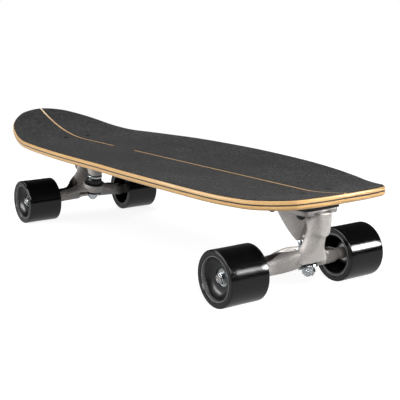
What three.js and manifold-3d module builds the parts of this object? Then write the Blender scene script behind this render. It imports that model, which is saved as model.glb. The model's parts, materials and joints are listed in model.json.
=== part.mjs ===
// Surf skateboard: a kicked, concave wood deck on two different steering trucks with four large soft wheels.
// Millimetres. The origin is on the ground under the middle of the deck, +X points to the nose, +Z points up.
import * as THREE from 'three';
import { mergeVertices } from 'three/addons/utils/BufferGeometryUtils.js';
import Module from 'manifold-3d';

const wasm = await Module();
wasm.setup();

// Driving sizes of the board
const deckLength = 812.8;
const deckWidth = 256;
const wheelBase = 547;
const noseOverhang = 89.8;
const wheelDiameter = 70;
const wheelWidth = 55;
const trackWidth = 240;
const truckHeight = 76.4;
const riserThickness = 6;

// Deck layers and shape
const gripThickness = 1;
const upperPliesThickness = 4.3;
const darkPlyThickness = 1.5;
const lowerPliesThickness = 5.1;
const glueLine = 0.1;
const gripInset = 1.6;
const edgeRounding = 2.4;
const undersideRounding = 3.6;
const tailKickHeight = 39.2;
const noseLiftHeight = 7.2;
const noseLiftLength = 68;
const concaveDepth = 8.3;
const stringerWidth = 3.5;

// Clearances between neighbours
const fitGap = 0.3;
const seatGap = 0.3;
const cutOverrun = 5;

// Standard hardware
const axleRadius = 3.97;
const bearingOuterRadius = 11;
const bearingWidth = 7;
const spacerLength = 10;
const spacerRadius = 5.6;
const axleNutWidth = 12.7;
const axleNutHeight = 6.3;
const kingpinRadius = 4.76;
const kingpinNutWidth = 14.3;
const kingpinNutHeight = 8;
const boltRadius = 2.4;
const boltHeadRadius = 4.8;
const boltHeadDepth = 2.8;
const boltHeadSink = 0.6;
const boltNutWidth = 9.5;
const boltNutHeight = 4.6;
const boltTailLength = 0.9;
const boltSpacingAcross = 41.3;
const boltSpacingAlong = 54;

// Wheel section
const treadHollow = 0.6;
const treadBandWidth = 8.5;
const lipRadius = 1.8;
const lipShare = 0.3;
const coreRadius = 27.5;
const coreRimThickness = 3;
const coreFaceRecess = 0.6;
const ringWidth = 2.2;
const ringDepth = 5;
const bowlWall = 7;
const hubWall = 2.6;
const hubLip = 1.4;
const bearingRecess = 12;
const bearingStopHeight = 1.4;
// The bowl between the ring and the hub, as [share of the way in, share of the way down]
const bowlShares = [[0.3, 0.5], [0.62, 0.86]];

// Trucks: shared castings and bushings
const basePlateThickness = 6.5;
const basePlateWidth = 54;
const basePlateCorner = 9;
const riserOverhang = 2.5;
const nutNicheGap = 0.9;
const nutNicheRoom = 3;
const bushingRadius = 12.4;
const bushingShoulder = 1.6;
const seatPlateHalf = 4;
const seatRimHalf = 5.5;
const ringHalf = 8;
const seatClearance = 0.9;
const kingpinHolePlay = 3;
const washerRadius = 12.2;
const washerThickness = 1.5;
const washerLip = 1.5;
const washerRim = 1;
const pivotTipRadius = 5.6;
const pivotTipLength = 11;
const pivotCupWall = 2;
const pivotCupEnd = 2;
const lipGap = 0.8;
const collarRadius = 7.6;
const collarLength = 15;
const armEndRadius = 9.6;
const armHalfHeight = 10;
const armHalfDepth = 12;
const armWall = 4.5;
const armPocketFloor = 1.8;
const armEndLift = 0.6;
const ringWall = 4.7;

// Facets round each kind of turned piece
const wheelSides = 24;
const coreSides = 22;
const bushingSides = 16;
const smallSides = 10;
const boltSides = 8;
const loopSides = 14;
const cornerSides = 3;
const deckStations = 24;

// Places that follow from the driving sizes
const wheelRadius = wheelDiameter / 2;
const frontAxleX = deckLength / 2 - noseOverhang;
const rearAxleX = frontAxleX - wheelBase;
const tailKickLength = deckLength / 2 + rearAxleX; // the kick starts over the rear axle
const basePlateTop = truckHeight;
const flangeUnderside = basePlateTop - basePlateThickness;
const deckUnderside = wheelRadius + truckHeight + glueLine + riserThickness + glueLine;
const woodThickness = lowerPliesThickness + darkPlyThickness + upperPliesThickness + glueLine * 2;
const deckThickness = woodThickness + glueLine + gripThickness;
const wheelCentreY = trackWidth / 2 - wheelWidth / 2;
const outerBearingFace = wheelWidth / 2 - bearingRecess;
const spacerOuterEnd = outerBearingFace - bearingWidth;
const spacerInnerEnd = spacerOuterEnd - spacerLength;
const innerBearingFace = spacerInnerEnd - bearingWidth;
const hangerHalfWidth = wheelCentreY + innerBearingFace - seatGap;
const axleNutFace = outerBearingFace + seatGap;
const axleHalfLength = wheelCentreY + axleNutFace + axleNutHeight;
const axleBore = axleRadius + fitGap;
const hubRadius = bearingOuterRadius + fitGap + hubWall;
const kingpinBore = kingpinRadius + fitGap;
const boltNutCorner = boltNutWidth / 2 / Math.cos(Math.PI / 6);

const materials = {
  maple: new THREE.MeshStandardMaterial({ color: 0xdba766, roughness: 0.35, metalness: 0 }),
  darkPly: new THREE.MeshStandardMaterial({ color: 0x2a211c, roughness: 0.45, metalness: 0 }),
  grip: new THREE.MeshStandardMaterial({ color: 0x3c3c3d, roughness: 0.95, metalness: 0 }),
  riser: new THREE.MeshStandardMaterial({ color: 0x151515, roughness: 0.6, metalness: 0 }),
  casting: new THREE.MeshStandardMaterial({ color: 0xb4aca5, roughness: 0.45, metalness: 0.9 }),
  zinc: new THREE.MeshStandardMaterial({ color: 0xc4cbd0, roughness: 0.25, metalness: 1 }),
  steel: new THREE.MeshStandardMaterial({ color: 0x9a9a9a, roughness: 0.3, metalness: 1 }),
  blackSteel: new THREE.MeshStandardMaterial({ color: 0x141414, roughness: 0.4, metalness: 0.6 }),
  bushing: new THREE.MeshStandardMaterial({ color: 0x1a1a1c, roughness: 0.4, metalness: 0 }),
  cup: new THREE.MeshStandardMaterial({ color: 0x101010, roughness: 0.6, metalness: 0 }),
  urethane: new THREE.MeshStandardMaterial({ color: 0x0d0d0e, roughness: 0.22, metalness: 0 }),
  core: new THREE.MeshStandardMaterial({ color: 0x202022, roughness: 0.4, metalness: 0 }),
};

// Solids: a closed mesh becomes a manifold, and one that was wound inside out is turned the right way first
function solid(geometry) {
  const bare = geometry.clone();
  bare.deleteAttribute('normal');
  bare.deleteAttribute('uv');
  const merged = mergeVertices(bare);
  const points = merged.attributes.position.array;
  const corners = [];
  let sixVolumes = 0;
  const at = (i) => new THREE.Vector3().fromArray(points, i * 3);
  for (let k = 0; k < merged.index.count; k += 3) {
    const [a, b, c] = [0, 1, 2].map((step) => merged.index.getX(k + step));
    if (a === b || b === c || c === a) continue;
    corners.push(a, b, c);
    sixVolumes += at(a).dot(at(b).cross(at(c)));
  }
  if (sixVolumes < 0) corners.reverse();
  const mesh = new wasm.Mesh({
    numProp: 3,
    vertProperties: new Float32Array(points),
    triVerts: new Uint32Array(corners),
  });
  return new wasm.Manifold(mesh);
}

function toGeometry(body) {
  const mesh = body.getMesh();
  const geometry = new THREE.BufferGeometry();
  geometry.setAttribute('position', new THREE.BufferAttribute(new Float32Array(mesh.vertProperties), 3));
  geometry.setIndex(new THREE.BufferAttribute(new Uint32Array(mesh.triVerts), 1));
  geometry.computeVertexNormals();
  return geometry;
}

function named(name, body, material) {
  const mesh = new THREE.Mesh(toGeometry(body), material);
  mesh.name = name;
  return mesh;
}

// A profile of [radius, height] points turned round the Z axis, with a flat facet at the side
function turned(profile, sides) {
  const points = profile.map(([radius, height]) => new THREE.Vector2(radius, height));
  const geometry = new THREE.LatheGeometry(points, sides, Math.PI / sides);
  return geometry.rotateX(Math.PI / 2);
}

// The same round the Y axis, for what sits on an axle
function turnedOnAxle(profile, sides) {
  return turned(profile, sides).rotateX(-Math.PI / 2);
}

function ringProfile(inner, outer, low, high) {
  return [[inner, low], [outer, low], [outer, high], [inner, high], [inner, low]];
}

function rodProfile(radius, low, high) {
  return [[0, low], [radius, low], [radius, high], [0, high]];
}

// A hexagon nut with its bore, put in place by the function handed in
function hexNut(width, bore, low, high, place) {
  const cornerRadius = width / 2 / Math.cos(Math.PI / 6);
  const block = solid(place(turned(rodProfile(cornerRadius, low, high), 6)));
  const hole = solid(place(turned(rodProfile(bore, low - cutOverrun, high + cutOverrun), smallSides)));
  return block.subtract(hole);
}

// Closed loops of equal length joined one to the next, with flat ends
function lofted(loops) {
  const count = loops[0].length;
  const points = loops.flat();
  const triangles = [];
  for (let row = 0; row + 1 < loops.length; row++) {
    for (let k = 0; k < count; k++) {
      const a = row * count + k;
      const b = row * count + ((k + 1) % count);
      triangles.push(a, b, b + count, a, b + count, a + count);
    }
  }
  const last = (loops.length - 1) * count;
  for (let k = 1; k + 1 < count; k++) {
    triangles.push(0, k + 1, k, last, last + k, last + k + 1);
  }
  const geometry = new THREE.BufferGeometry().setFromPoints(points);
  geometry.setIndex(triangles);
  return geometry;
}

// One rounded loop: two half sizes along two directions, round for squareness 2 and boxier above it
function roundedLoop(centre, alongA, alongB, halfA, halfB, squareness) {
  const loop = [];
  for (let k = 0; k < loopSides; k++) {
    const angle = ((k + 0.5) / loopSides) * Math.PI * 2;
    const a = Math.sign(Math.cos(angle)) * Math.abs(Math.cos(angle)) ** (2 / squareness);
    const b = Math.sign(Math.sin(angle)) * Math.abs(Math.sin(angle)) ** (2 / squareness);
    loop.push(centre.clone().addScaledVector(alongA, a * halfA).addScaledVector(alongB, b * halfB));
  }
  return loop;
}

const across = new THREE.Vector3(0, 1, 0);
const upward = new THREE.Vector3(0, 0, 1);
const forward = new THREE.Vector3(1, 0, 0);

function plate(length, width, thickness, corner) {
  const shape = new THREE.Shape();
  const x = length / 2;
  const y = width / 2;
  shape.moveTo(x - corner, -y);
  shape.absarc(x - corner, -y + corner, corner, -Math.PI / 2, 0);
  shape.absarc(x - corner, y - corner, corner, 0, Math.PI / 2);
  shape.absarc(-x + corner, y - corner, corner, Math.PI / 2, Math.PI);
  shape.absarc(-x + corner, -y + corner, corner, Math.PI, Math.PI * 1.5);
  const settings = { depth: thickness, bevelEnabled: false, curveSegments: cornerSides };
  return new THREE.ExtrudeGeometry(shape, settings);
}

// Deck: outline as [share of the length from the tail, share of the half width]
const outlineShares = [
  [0, 0], [0.0117, 0.295], [0.024, 0.398], [0.0474, 0.529], [0.0794, 0.644], [0.1225, 0.733],
  [0.1713, 0.81], [0.233, 0.879], [0.3067, 0.933], [0.4182, 0.989], [0.5537, 1], [0.6522, 0.993],
  [0.7498, 0.957], [0.8245, 0.905], [0.8733, 0.848], [0.9265, 0.746], [0.9595, 0.66], [0.981, 0.595],
  [0.9915, 0.538], [0.9955, 0.455], [0.998, 0.28], [0.9995, 0.12], [1, 0],
];
// How deep the concave is, as [share of the length from the tail, share of the full concave]
const concaveShares = [
  [0, 1], [0.3, 0.92], [0.42, 0.97], [0.556, 1], [0.65, 0.92],
  [0.753, 0.8], [0.828, 0.61], [0.877, 0.44], [0.945, 0.36], [1, 0.4],
];
const flatShare = 0.24;
const crossShares = [-1, -0.62, -flatShare, flatShare, 0.62, 1];
const kickPower = 2;
const noseLiftPower = 1.52;
// Where the bare line stops, as [share of the length from the tail, the end it runs to]
const stringerEndShares = [[0.34, -1], [0.419, 1]];
const concavePower = 1.6;

function valueAt(table, share) {
  const upper = Math.max(1, table.findIndex(([place]) => place >= share));
  const [x0, y0] = table[upper - 1];
  const [x1, y1] = table[upper];
  return y0 + ((y1 - y0) * (share - x0)) / (x1 - x0);
}

function deckOutline() {
  const oneSide = outlineShares.map(([x, y]) => new THREE.Vector3(x, y, 0));
  const otherSide = oneSide.slice(1, -1).reverse().map((point) => new THREE.Vector3(point.x, -point.y, 0));
  const curve = new THREE.CatmullRomCurve3([...oneSide, ...otherSide], true);
  const steps = oneSide.length + otherSide.length;
  const noseParameter = (oneSide.length - 1) / steps;
  const outline = [];
  for (let k = 0; k <= deckStations; k++) {
    const point = curve.getPoint((noseParameter * k) / deckStations);
    outline.push([(point.x - 0.5) * deckLength, (Math.max(0, point.y) * deckWidth) / 2]);
  }
  outline[0][1] = 0;
  outline[deckStations][1] = 0;
  return outline;
}
const outline = deckOutline();

function deckRise(x, y) {
  const share = THREE.MathUtils.clamp(x / deckLength + 0.5, 0, 1);
  const tail = Math.max(0, (-deckLength / 2 + tailKickLength - x) / tailKickLength);
  const nose = Math.max(0, (x - deckLength / 2 + noseLiftLength) / noseLiftLength);
  const side = Math.max(0, ((Math.abs(y) * 2) / deckWidth - flatShare) / (1 - flatShare));
  const kick = tailKickHeight * tail ** kickPower + noseLiftHeight * nose ** noseLiftPower;
  return kick + concaveDepth * valueAt(concaveShares, share) * side ** concavePower;
}

// One layer of the deck: rings of the outline, each with its height over the underside and its inset
function deckLayer(rings) {
  const points = [];
  const triangles = [];
  const place = (ring, station, crossShare) => {
    const [x, halfWidth] = outline[station];
    const insetX = x * (1 - (2 * ring.inset) / deckLength);
    const insetY = crossShare * halfWidth * (1 - (2 * ring.inset) / deckWidth);
    const rise = deckRise(insetX, insetY);
    points.push(new THREE.Vector3(insetX, insetY, deckUnderside + ring.lift + rise));
    return points.length - 1;
  };
  const quad = ([a, b, c, d], flipped) => {
    if (flipped) triangles.push(a, c, b, a, d, c);
    else triangles.push(a, b, c, a, c, d);
  };
  const skin = (ring, facingUp) => {
    for (let i = 0; i < deckStations; i++) {
      for (let j = 0; j + 1 < crossShares.length; j++) {
        const corners = [[i, j], [i + 1, j], [i + 1, j + 1], [i, j + 1]];
        const placed = corners.map(([station, column]) => place(ring, station, crossShares[column]));
        quad(placed, !facingUp);
      }
    }
  };
  skin(rings[0], false);
  skin(rings[rings.length - 1], true);
  for (let r = 0; r + 1 < rings.length; r++) {
    for (let i = 0; i < deckStations; i++) {
      for (const side of [-1, 1]) {
        const lower = rings[r];
        const upper = rings[r + 1];
        const wall = [[lower, i], [lower, i + 1], [upper, i + 1], [upper, i]];
        const placed = wall.map(([ring, station]) => place(ring, station, side));
        quad(placed, side > 0);
      }
    }
  }
  const geometry = new THREE.BufferGeometry().setFromPoints(points);
  geometry.setIndex(triangles);
  return solid(geometry);
}

// Trucks: everything about one truck is measured from its axle centre, +X to the nose of the board
const front = {
  name: 'front',
  axleX: frontAxleX,
  plateCentreX: 10,
  plateLength: 84,
  seatX: 22.5,
  seatZ: 11,
  steerTilt: THREE.MathUtils.degToRad(28),
  kingpinTilt: THREE.MathUtils.degToRad(-20),
  bodyReach: 42,
  bodyLift: 10,
  bodyHalfHeight: 10,
  bodySlope: 0.364,
  bodyBulge: 2,
  armLift: 2,
  drumDepth: 5,
  cavityRadius: 17,
  neckLength: 45,
  neckRadius: 11.6,
  neckFootX: 24,
  neckFootZ: 9,
  neckFootDepth: 17,
  neckFootWidth: 24,
  neckBendShare: 0.42,
  bossRadius: 14.7,
  bossTopX: 46,
  bossTopHalf: 13,
  kingpinCollarHeight: 9.2,
  blockRadius: 6.6,
  blockTopX: 10,
  blockTopDepth: 33,
  blockTopWidth: 23,
  kingpinCollarRadius: 5.6,
  boardBushingHeight: 7,
  roadBushingHeight: 6.8,
  kingpinTop: 44,
};
const rear = {
  name: 'rear',
  axleX: rearAxleX,
  plateCentreX: 0,
  plateLength: 92,
  seatX: 25,
  seatZ: 16,
  steerTilt: THREE.MathUtils.degToRad(-54),
  kingpinTilt: THREE.MathUtils.degToRad(16),
  bodyReach: 12,
  bodyLift: 4.5,
  bodyHalfHeight: 9.5,
  bodySlope: 0,
  bodyBulge: 0,
  armLift: 4,
  shelfReach: 43,
  shelfLift: 14.5,
  shelfHalfHeight: 5,
  drumDepth: 4.5,
  cavityRadius: 22,
  neckLength: 53,
  neckRadius: 9,
  neckFootX: 0,
  neckFootZ: 12,
  neckFootDepth: 9,
  neckFootWidth: 55,
  neckBendShare: 0.62,
  bossRadius: 11.2,
  bossTopX: -26,
  bossTopHalf: 11.5,
  kingpinCollarHeight: 1.1,
  blockRadius: 11.6,
  blockTopX: 31,
  blockTopDepth: 13.5,
  blockTopWidth: 13.5,
  kingpinCollarRadius: 6.8,
  boardBushingHeight: 16.5,
  roadBushingHeight: 6.6,
  kingpinTop: 46,
};

// The arms, as shares of the hanger's half width, of the way to the full body and of the bulge
const armShares = [[0.54, 0, 0], [0.27, 0.65, 1], [0, 1, 0]];
const armSquareness = 4;
// The shelf round the ring: shares of the hanger's half width, of the way to its full reach and of its rise
const shelfShares = [[0.54, 0, 0.3], [0.27, 0.6, 0.85], [0, 1, 1]];
// [share of the way up the neck, share of the flare from the neck's radius to its foot]
const neckShares = [[0, 1], [0.2, 0.66], [0.42, 0.38], [0.62, 0.17], [0.82, 0.04], [1, 0]];
const neckTurnPower = 1.3;
const pinRootShare = 0.5;
// The pivot pin's rounded end, as [share of its radius out, share of its radius back from the tip]
const pinNoseShares = [[1, 0.9], [0.8, 0.3], [0.45, 0]];
const kingpinPointShares = [0.8, 0.3];
const armEndShare = 0.35;
const bossMiddleShare = 0.45;
const kingpinTailShare = 0.25;
const pocketShares = [0.27, 0.72];
// [share of the way from the kingpin's face to the flange, share of the block's growth on the way]
const blockShares = [[0, 0], [0.12, 0.16], [0.45, 0.52], [1, 1]];
// How fast the well round a bushing widens: inside the ring, and above it
const rimFlareShare = 1.4;
const wellFlareShare = 0.35;
// Where a bushing is widest, begins to draw in and has drawn in, as shares of its height
const bushingShares = [0.2, 0.65, 0.82];

function placed(geometry, truck, tilt) {
  return geometry.rotateY(tilt).translate(truck.seatX, 0, truck.seatZ);
}
function onKingpin(profile, truck, sides) {
  return solid(placed(turned(profile, sides), truck, truck.kingpinTilt));
}
function onSteerAxis(profile, truck, sides) {
  return solid(placed(turned(profile, sides), truck, truck.steerTilt));
}
function alongAxis(truck, tilt, distance) {
  return new THREE.Vector3(Math.sin(tilt), 0, Math.cos(tilt))
    .multiplyScalar(distance)
    .add(new THREE.Vector3(truck.seatX, 0, truck.seatZ));
}
function box([lowX, highX], [lowY, highY], [lowZ, highZ]) {
  const geometry = new THREE.BoxGeometry(highX - lowX, highY - lowY, highZ - lowZ);
  return solid(geometry.translate((lowX + highX) / 2, (lowY + highY) / 2, (lowZ + highZ) / 2));
}
function joined([first, ...others]) {
  return others.reduce((all, next) => all.add(next), first);
}
function boltPlaces(truck) {
  const places = [];
  for (const along of [1, -1]) {
    for (const side of [-1, 1]) {
      places.push([truck.plateCentreX + (along * boltSpacingAlong) / 2, (side * boltSpacingAcross) / 2]);
    }
  }
  return places;
}
function boltHoles(truck, low, high) {
  const profile = rodProfile(boltRadius + fitGap, low, high);
  return joined(boltPlaces(truck).map(([x, y]) => solid(turned(profile, boltSides).translate(x, y, 0))));
}

// Rounded sections along a bent path in the middle plane, each leaning by its own tilt
function bentBody(sections) {
  const loops = sections.map(({ centre, tilt, halfDepth, halfWidth, squareness }) => {
    const along = new THREE.Vector3(Math.cos(tilt), 0, -Math.sin(tilt));
    return roundedLoop(centre, along, across, halfDepth, halfWidth, squareness);
  });
  return solid(lofted(loops));
}

// Hanger: two arms and the body round the bushings, the neck and the pivot pin, all one casting
function hangerArms(truck) {
  const collarInner = hangerHalfWidth - collarLength;
  const round = { x: 0, z: 0, halfX: collarRadius, halfZ: collarRadius, slope: 0, squareness: 2 };
  const armEnd = { ...round, z: armEndLift, halfX: armEndRadius, halfZ: armEndRadius, squareness: 2.6 };
  const half = [
    { ...round, y: hangerHalfWidth },
    { ...round, y: collarInner },
    { ...armEnd, y: collarInner - collarLength * armEndShare },
  ];
  for (const [place, bodyShare, bulgeShare] of armShares) {
    const reach = armHalfDepth + (truck.bodyReach - armHalfDepth) * bodyShare;
    half.push({
      y: hangerHalfWidth * place,
      x: (reach - armHalfDepth) / 2,
      z: truck.armLift + (truck.bodyLift - truck.armLift) * bodyShare,
      halfX: (reach + armHalfDepth) / 2,
      halfZ: armHalfHeight + (truck.bodyHalfHeight - armHalfHeight) * bodyShare
        + truck.bodyBulge * bulgeShare,
      slope: truck.bodySlope * bodyShare,
      squareness: armSquareness,
    });
  }
  const otherHalf = half.slice(0, -1).reverse().map((section) => ({ ...section, y: -section.y }));
  const loops = [...half, ...otherHalf].map(({ x, y, z, halfX, halfZ, slope, squareness }) => {
    const along = new THREE.Vector3(1, 0, slope);
    return roundedLoop(new THREE.Vector3(x, y, z), along, upward, halfX, halfZ, squareness);
  });
  return solid(lofted(loops));
}

// A flat shelf that leaves the arms for the ring, over the open front of the room for the kingpin's nut
function hangerShelf(truck) {
  const half = shelfShares.map(([place, growth, rise]) => {
    const reach = armHalfDepth + (truck.shelfReach - armHalfDepth) * growth;
    const x = (reach - armHalfDepth) / 2;
    const z = truck.armLift + (truck.shelfLift - truck.armLift) * rise;
    return { x, y: hangerHalfWidth * place, z, halfX: (reach + armHalfDepth) / 2 };
  });
  const otherHalf = half.slice(0, -1).reverse().map((section) => ({ ...section, y: -section.y }));
  const loops = [...half, ...otherHalf].map(({ x, y, z, halfX }) => (
    roundedLoop(new THREE.Vector3(x, y, z), forward, upward, halfX, truck.shelfHalfHeight, armSquareness)
  ));
  return solid(lofted(loops));
}

function hangerNeck(truck) {
  const foot = new THREE.Vector3(truck.neckFootX, 0, truck.neckFootZ);
  const bend = alongAxis(truck, truck.steerTilt, truck.neckLength * truck.neckBendShare);
  const lip = alongAxis(truck, truck.steerTilt, truck.neckLength - lipGap);
  const path = new THREE.QuadraticBezierCurve3(foot, bend, lip);
  return bentBody(neckShares.map(([place, flare]) => ({
    centre: path.getPoint(place),
    tilt: truck.steerTilt * place ** neckTurnPower,
    halfDepth: truck.neckFootDepth + (truck.neckRadius - truck.neckFootDepth) * place,
    halfWidth: truck.neckRadius + (truck.neckFootWidth - truck.neckRadius) * flare,
    squareness: 2 + flare,
  })));
}

function pivotPin(truck) {
  const root = truck.neckLength - lipGap - truck.neckRadius * pinRootShare;
  const tip = truck.neckLength + pivotTipLength;
  const radius = pivotTipRadius;
  const nose = pinNoseShares.map(([across, back]) => [radius * across, tip - radius * back]);
  return onSteerAxis([[0, root], [radius, root], ...nose, [0, tip]], truck, smallSides);
}

// The ring that holds the bushings, cut flat level with the underside of the arms
function seatBody(truck) {
  const radius = bushingRadius + seatClearance + ringWall;
  const body = onKingpin(rodProfile(radius, -truck.drumDepth, ringHalf), truck, bushingSides);
  const below = truck.armLift - armHalfHeight;
  const reach = blockFace(truck) * 2;
  return body.subtract(box([-reach, reach], [-reach, reach], [below - reach, below]));
}

function seatCuts(truck) {
  const seat = bushingRadius + seatClearance;
  const far = blockFace(truck) * 2;
  const mouth = seat + (ringHalf - seatRimHalf) * rimFlareShare;
  const well = [[0, seatPlateHalf], [seat, seatPlateHalf], [seat, seatRimHalf], [mouth, ringHalf]];
  const wide = mouth + (far - ringHalf) * wellFlareShare;
  const upper = onKingpin([...well, [wide, far], [0, far]], truck, bushingSides);
  const room = [...well, [truck.cavityRadius, ringHalf], [truck.cavityRadius, far], [0, far]];
  const lower = onKingpin(room.map(([across, height]) => [across, -height]), truck, bushingSides);
  const hole = onKingpin(rodProfile(kingpinRadius + kingpinHolePlay, -far, far), truck, bushingSides);
  return upper.add(lower).add(hole);
}

function armPockets(truck) {
  const floor = axleRadius + fitGap + armPocketFloor;
  const [inner, outer] = pocketShares.map((share) => share * hangerHalfWidth);
  return joined([1, -1].map((side) => {
    const loops = [floor, truck.neckLength].map((z) => {
      const centre = new THREE.Vector3(0, ((inner + outer) / 2) * side, z);
      return roundedLoop(centre, forward, across, armHalfDepth - armWall, (outer - inner) / 2, armSquareness);
    });
    return solid(lofted(loops));
  }));
}

function hanger(truck) {
  const reach = hangerHalfWidth + cutOverrun;
  const axleHole = solid(turnedOnAxle(rodProfile(axleRadius + fitGap, -reach, reach), smallSides));
  const solids = [hangerArms(truck), seatBody(truck), hangerNeck(truck), pivotPin(truck)];
  if (truck.shelfReach) solids.push(hangerShelf(truck));
  const casting = joined(solids);
  const cuts = [seatCuts(truck), armPockets(truck), axleHole];
  return casting.subtract(joined(cuts));
}

// Base plate: a bolted flange, the block that the kingpin is pressed into, and the boss of the pivot cup
function basePlate(truck) {
  const flange = solid(
    plate(truck.plateLength, basePlateWidth, basePlateThickness, basePlateCorner).translate(
      truck.plateCentreX, 0, flangeUnderside),
  );
  const rise = flangeUnderside + basePlateThickness / 2;
  const face = alongAxis(truck, truck.kingpinTilt, blockFace(truck));
  const blockTop = new THREE.Vector3(truck.blockTopX, 0, rise);
  const block = bentBody(blockShares.map(([place, growth]) => ({
    centre: face.clone().lerp(blockTop, place),
    tilt: truck.kingpinTilt * (1 - place),
    halfDepth: truck.blockRadius + (truck.blockTopDepth - truck.blockRadius) * growth,
    halfWidth: truck.blockRadius + (truck.blockTopWidth - truck.blockRadius) * growth,
    squareness: 2 + growth,
  })));
  const lip = alongAxis(truck, truck.steerTilt, truck.neckLength);
  const bossTop = new THREE.Vector3(truck.bossTopX, 0, rise);
  const boss = bentBody([0, bossMiddleShare, 1].map((place) => ({
    centre: lip.clone().lerp(bossTop, place),
    tilt: truck.steerTilt * (1 - place),
    halfDepth: truck.bossRadius + (truck.bossTopHalf - truck.bossRadius) * place,
    halfWidth: truck.bossRadius + (truck.bossTopHalf - truck.bossRadius) * place,
    squareness: 2 + place,
  })));
  const cupBore = pivotTipRadius + fitGap + pivotCupWall + fitGap;
  const cupEnd = truck.neckLength + pivotTipLength + fitGap + pivotCupEnd + fitGap;
  const neckRoom = truck.bossRadius + lipGap;
  const cuts = [
    onSteerAxis(rodProfile(cupBore, 0, cupEnd), truck, bushingSides),
    onSteerAxis(rodProfile(neckRoom, truck.neckLength / 2, truck.neckLength), truck, bushingSides),
    onKingpin(rodProfile(kingpinBore, 0, truck.kingpinTop + fitGap), truck, smallSides),
    boltHoles(truck, 0, basePlateTop + cutOverrun),
    nutNiches(truck),
  ];
  return joined([flange, block, boss]).subtract(joined(cuts));
}

// Room for the four lock nuts beside the block, close under the flange
function nutNiches(truck) {
  const radius = boltNutCorner + nutNicheGap;
  const height = boltNutHeight + boltTailLength + nutNicheRoom;
  const profile = rodProfile(radius, flangeUnderside - height, flangeUnderside);
  return joined(boltPlaces(truck).map(([x, y]) => solid(turned(profile, boltSides).translate(x, y, 0))));
}

function pivotCup(truck) {
  const inner = pivotTipRadius + fitGap;
  const outer = inner + pivotCupWall;
  const mouth = truck.neckLength + fitGap;
  const floor = truck.neckLength + pivotTipLength + fitGap;
  const profile = [[0, floor], [inner, floor], [inner, mouth], [outer, mouth],
    [outer, floor + pivotCupEnd], [0, floor + pivotCupEnd]];
  return onSteerAxis(profile, truck, bushingSides);
}

function kingpin(truck) {
  const bottom = -(roadStack(truck) + kingpinNutHeight + kingpinRadius * kingpinTailShare);
  const collarTop = blockFace(truck) - seatGap;
  const collarLow = boardStack(truck) + seatGap;
  const [pointWidth, pointDepth] = kingpinPointShares.map((share) => share * kingpinRadius);
  const collar = truck.kingpinCollarRadius;
  const profile = [[0, bottom], [pointWidth, bottom], [kingpinRadius, bottom + pointDepth],
    [kingpinRadius, collarLow], [collar, collarLow], [collar, collarTop],
    [kingpinRadius, collarTop], [kingpinRadius, truck.kingpinTop], [0, truck.kingpinTop]];
  return onKingpin(profile, truck, smallSides);
}

// Heights along the kingpin, counted from the hanger's seat
function boardStack(truck) {
  return seatPlateHalf + seatGap + truck.boardBushingHeight + seatGap + washerThickness;
}
function roadStack(truck) {
  return seatPlateHalf + seatGap + truck.roadBushingHeight + seatGap + washerThickness + seatGap;
}
function blockFace(truck) {
  return boardStack(truck) + seatGap + truck.kingpinCollarHeight + seatGap;
}

function bushing(truck, side, height) {
  const near = seatPlateHalf + seatGap;
  const shoulder = bushingRadius - bushingShoulder;
  const [swell, neck, top] = bushingShares.map((share) => near + height * share);
  const profile = [[kingpinBore, near], [bushingRadius - bushingShoulder / 2, near], [bushingRadius, swell],
    [bushingRadius, neck], [shoulder, top], [shoulder, near + height], [kingpinBore, near + height],
    [kingpinBore, near]];
  return onKingpin(profile.map(([radius, z]) => [radius, z * side]), truck, bushingSides);
}

function cupWasher(truck, side, height) {
  const seat = seatPlateHalf + seatGap + height + seatGap;
  const rimInner = washerRadius - washerRim;
  const profile = [[kingpinBore, seat], [rimInner, seat], [rimInner, seat - washerLip],
    [washerRadius, seat - washerLip], [washerRadius, seat + washerThickness],
    [kingpinBore, seat + washerThickness], [kingpinBore, seat]];
  return onKingpin(profile.map(([radius, z]) => [radius, z * side]), truck, bushingSides);
}

function kingpinNut(truck) {
  const high = -roadStack(truck);
  const place = (geometry) => placed(geometry, truck, truck.kingpinTilt);
  return hexNut(kingpinNutWidth, kingpinBore, high - kingpinNutHeight, high, place);
}

function axle() {
  return solid(turnedOnAxle(rodProfile(axleRadius, -axleHalfLength, axleHalfLength), smallSides));
}

function riserPad(truck) {
  const low = basePlateTop + glueLine;
  const length = truck.plateLength + riserOverhang * 2;
  const width = basePlateWidth + riserOverhang * 2;
  const pad = plate(length, width, riserThickness, basePlateCorner + riserOverhang);
  const holes = boltHoles(truck, low - cutOverrun, low + riserThickness + cutOverrun);
  return solid(pad.translate(truck.plateCentreX, 0, low)).subtract(holes);
}

// Mounting bolts: a countersunk head just under the grip, the shank, and the lock nut under the flange
const boltHeadTop = deckUnderside - wheelRadius + deckThickness - boltHeadSink;

function boltProfile(extra, low, high) {
  const shank = boltRadius + extra;
  const head = boltHeadRadius + extra;
  const headLow = boltHeadTop - boltHeadDepth;
  return [[0, low], [shank, low], [shank, headLow], [head, boltHeadTop], [head, high], [0, high]];
}

function bolt(x, y) {
  const nutTop = flangeUnderside - seatGap;
  const nutLow = nutTop - boltNutHeight;
  const low = nutLow - boltTailLength;
  const profile = boltProfile(0, low, boltHeadTop).slice(0, -2).concat([[0, boltHeadTop]]);
  const shank = solid(turned(profile, boltSides).translate(x, y, 0));
  return shank.add(solid(turned(rodProfile(boltNutCorner, nutLow, nutTop), 6).translate(x, y, 0)));
}

// What the four bolts of a truck cut out of the deck, in the board's own frame
function boltCuts(truck) {
  const low = deckUnderside - wheelRadius - cutOverrun;
  const profile = boltProfile(fitGap, low, boltHeadTop + cutOverrun);
  return joined(boltPlaces(truck).map(([x, y]) => {
    return solid(turned(profile, boltSides).translate(truck.axleX + x, y, wheelRadius));
  }));
}

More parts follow.
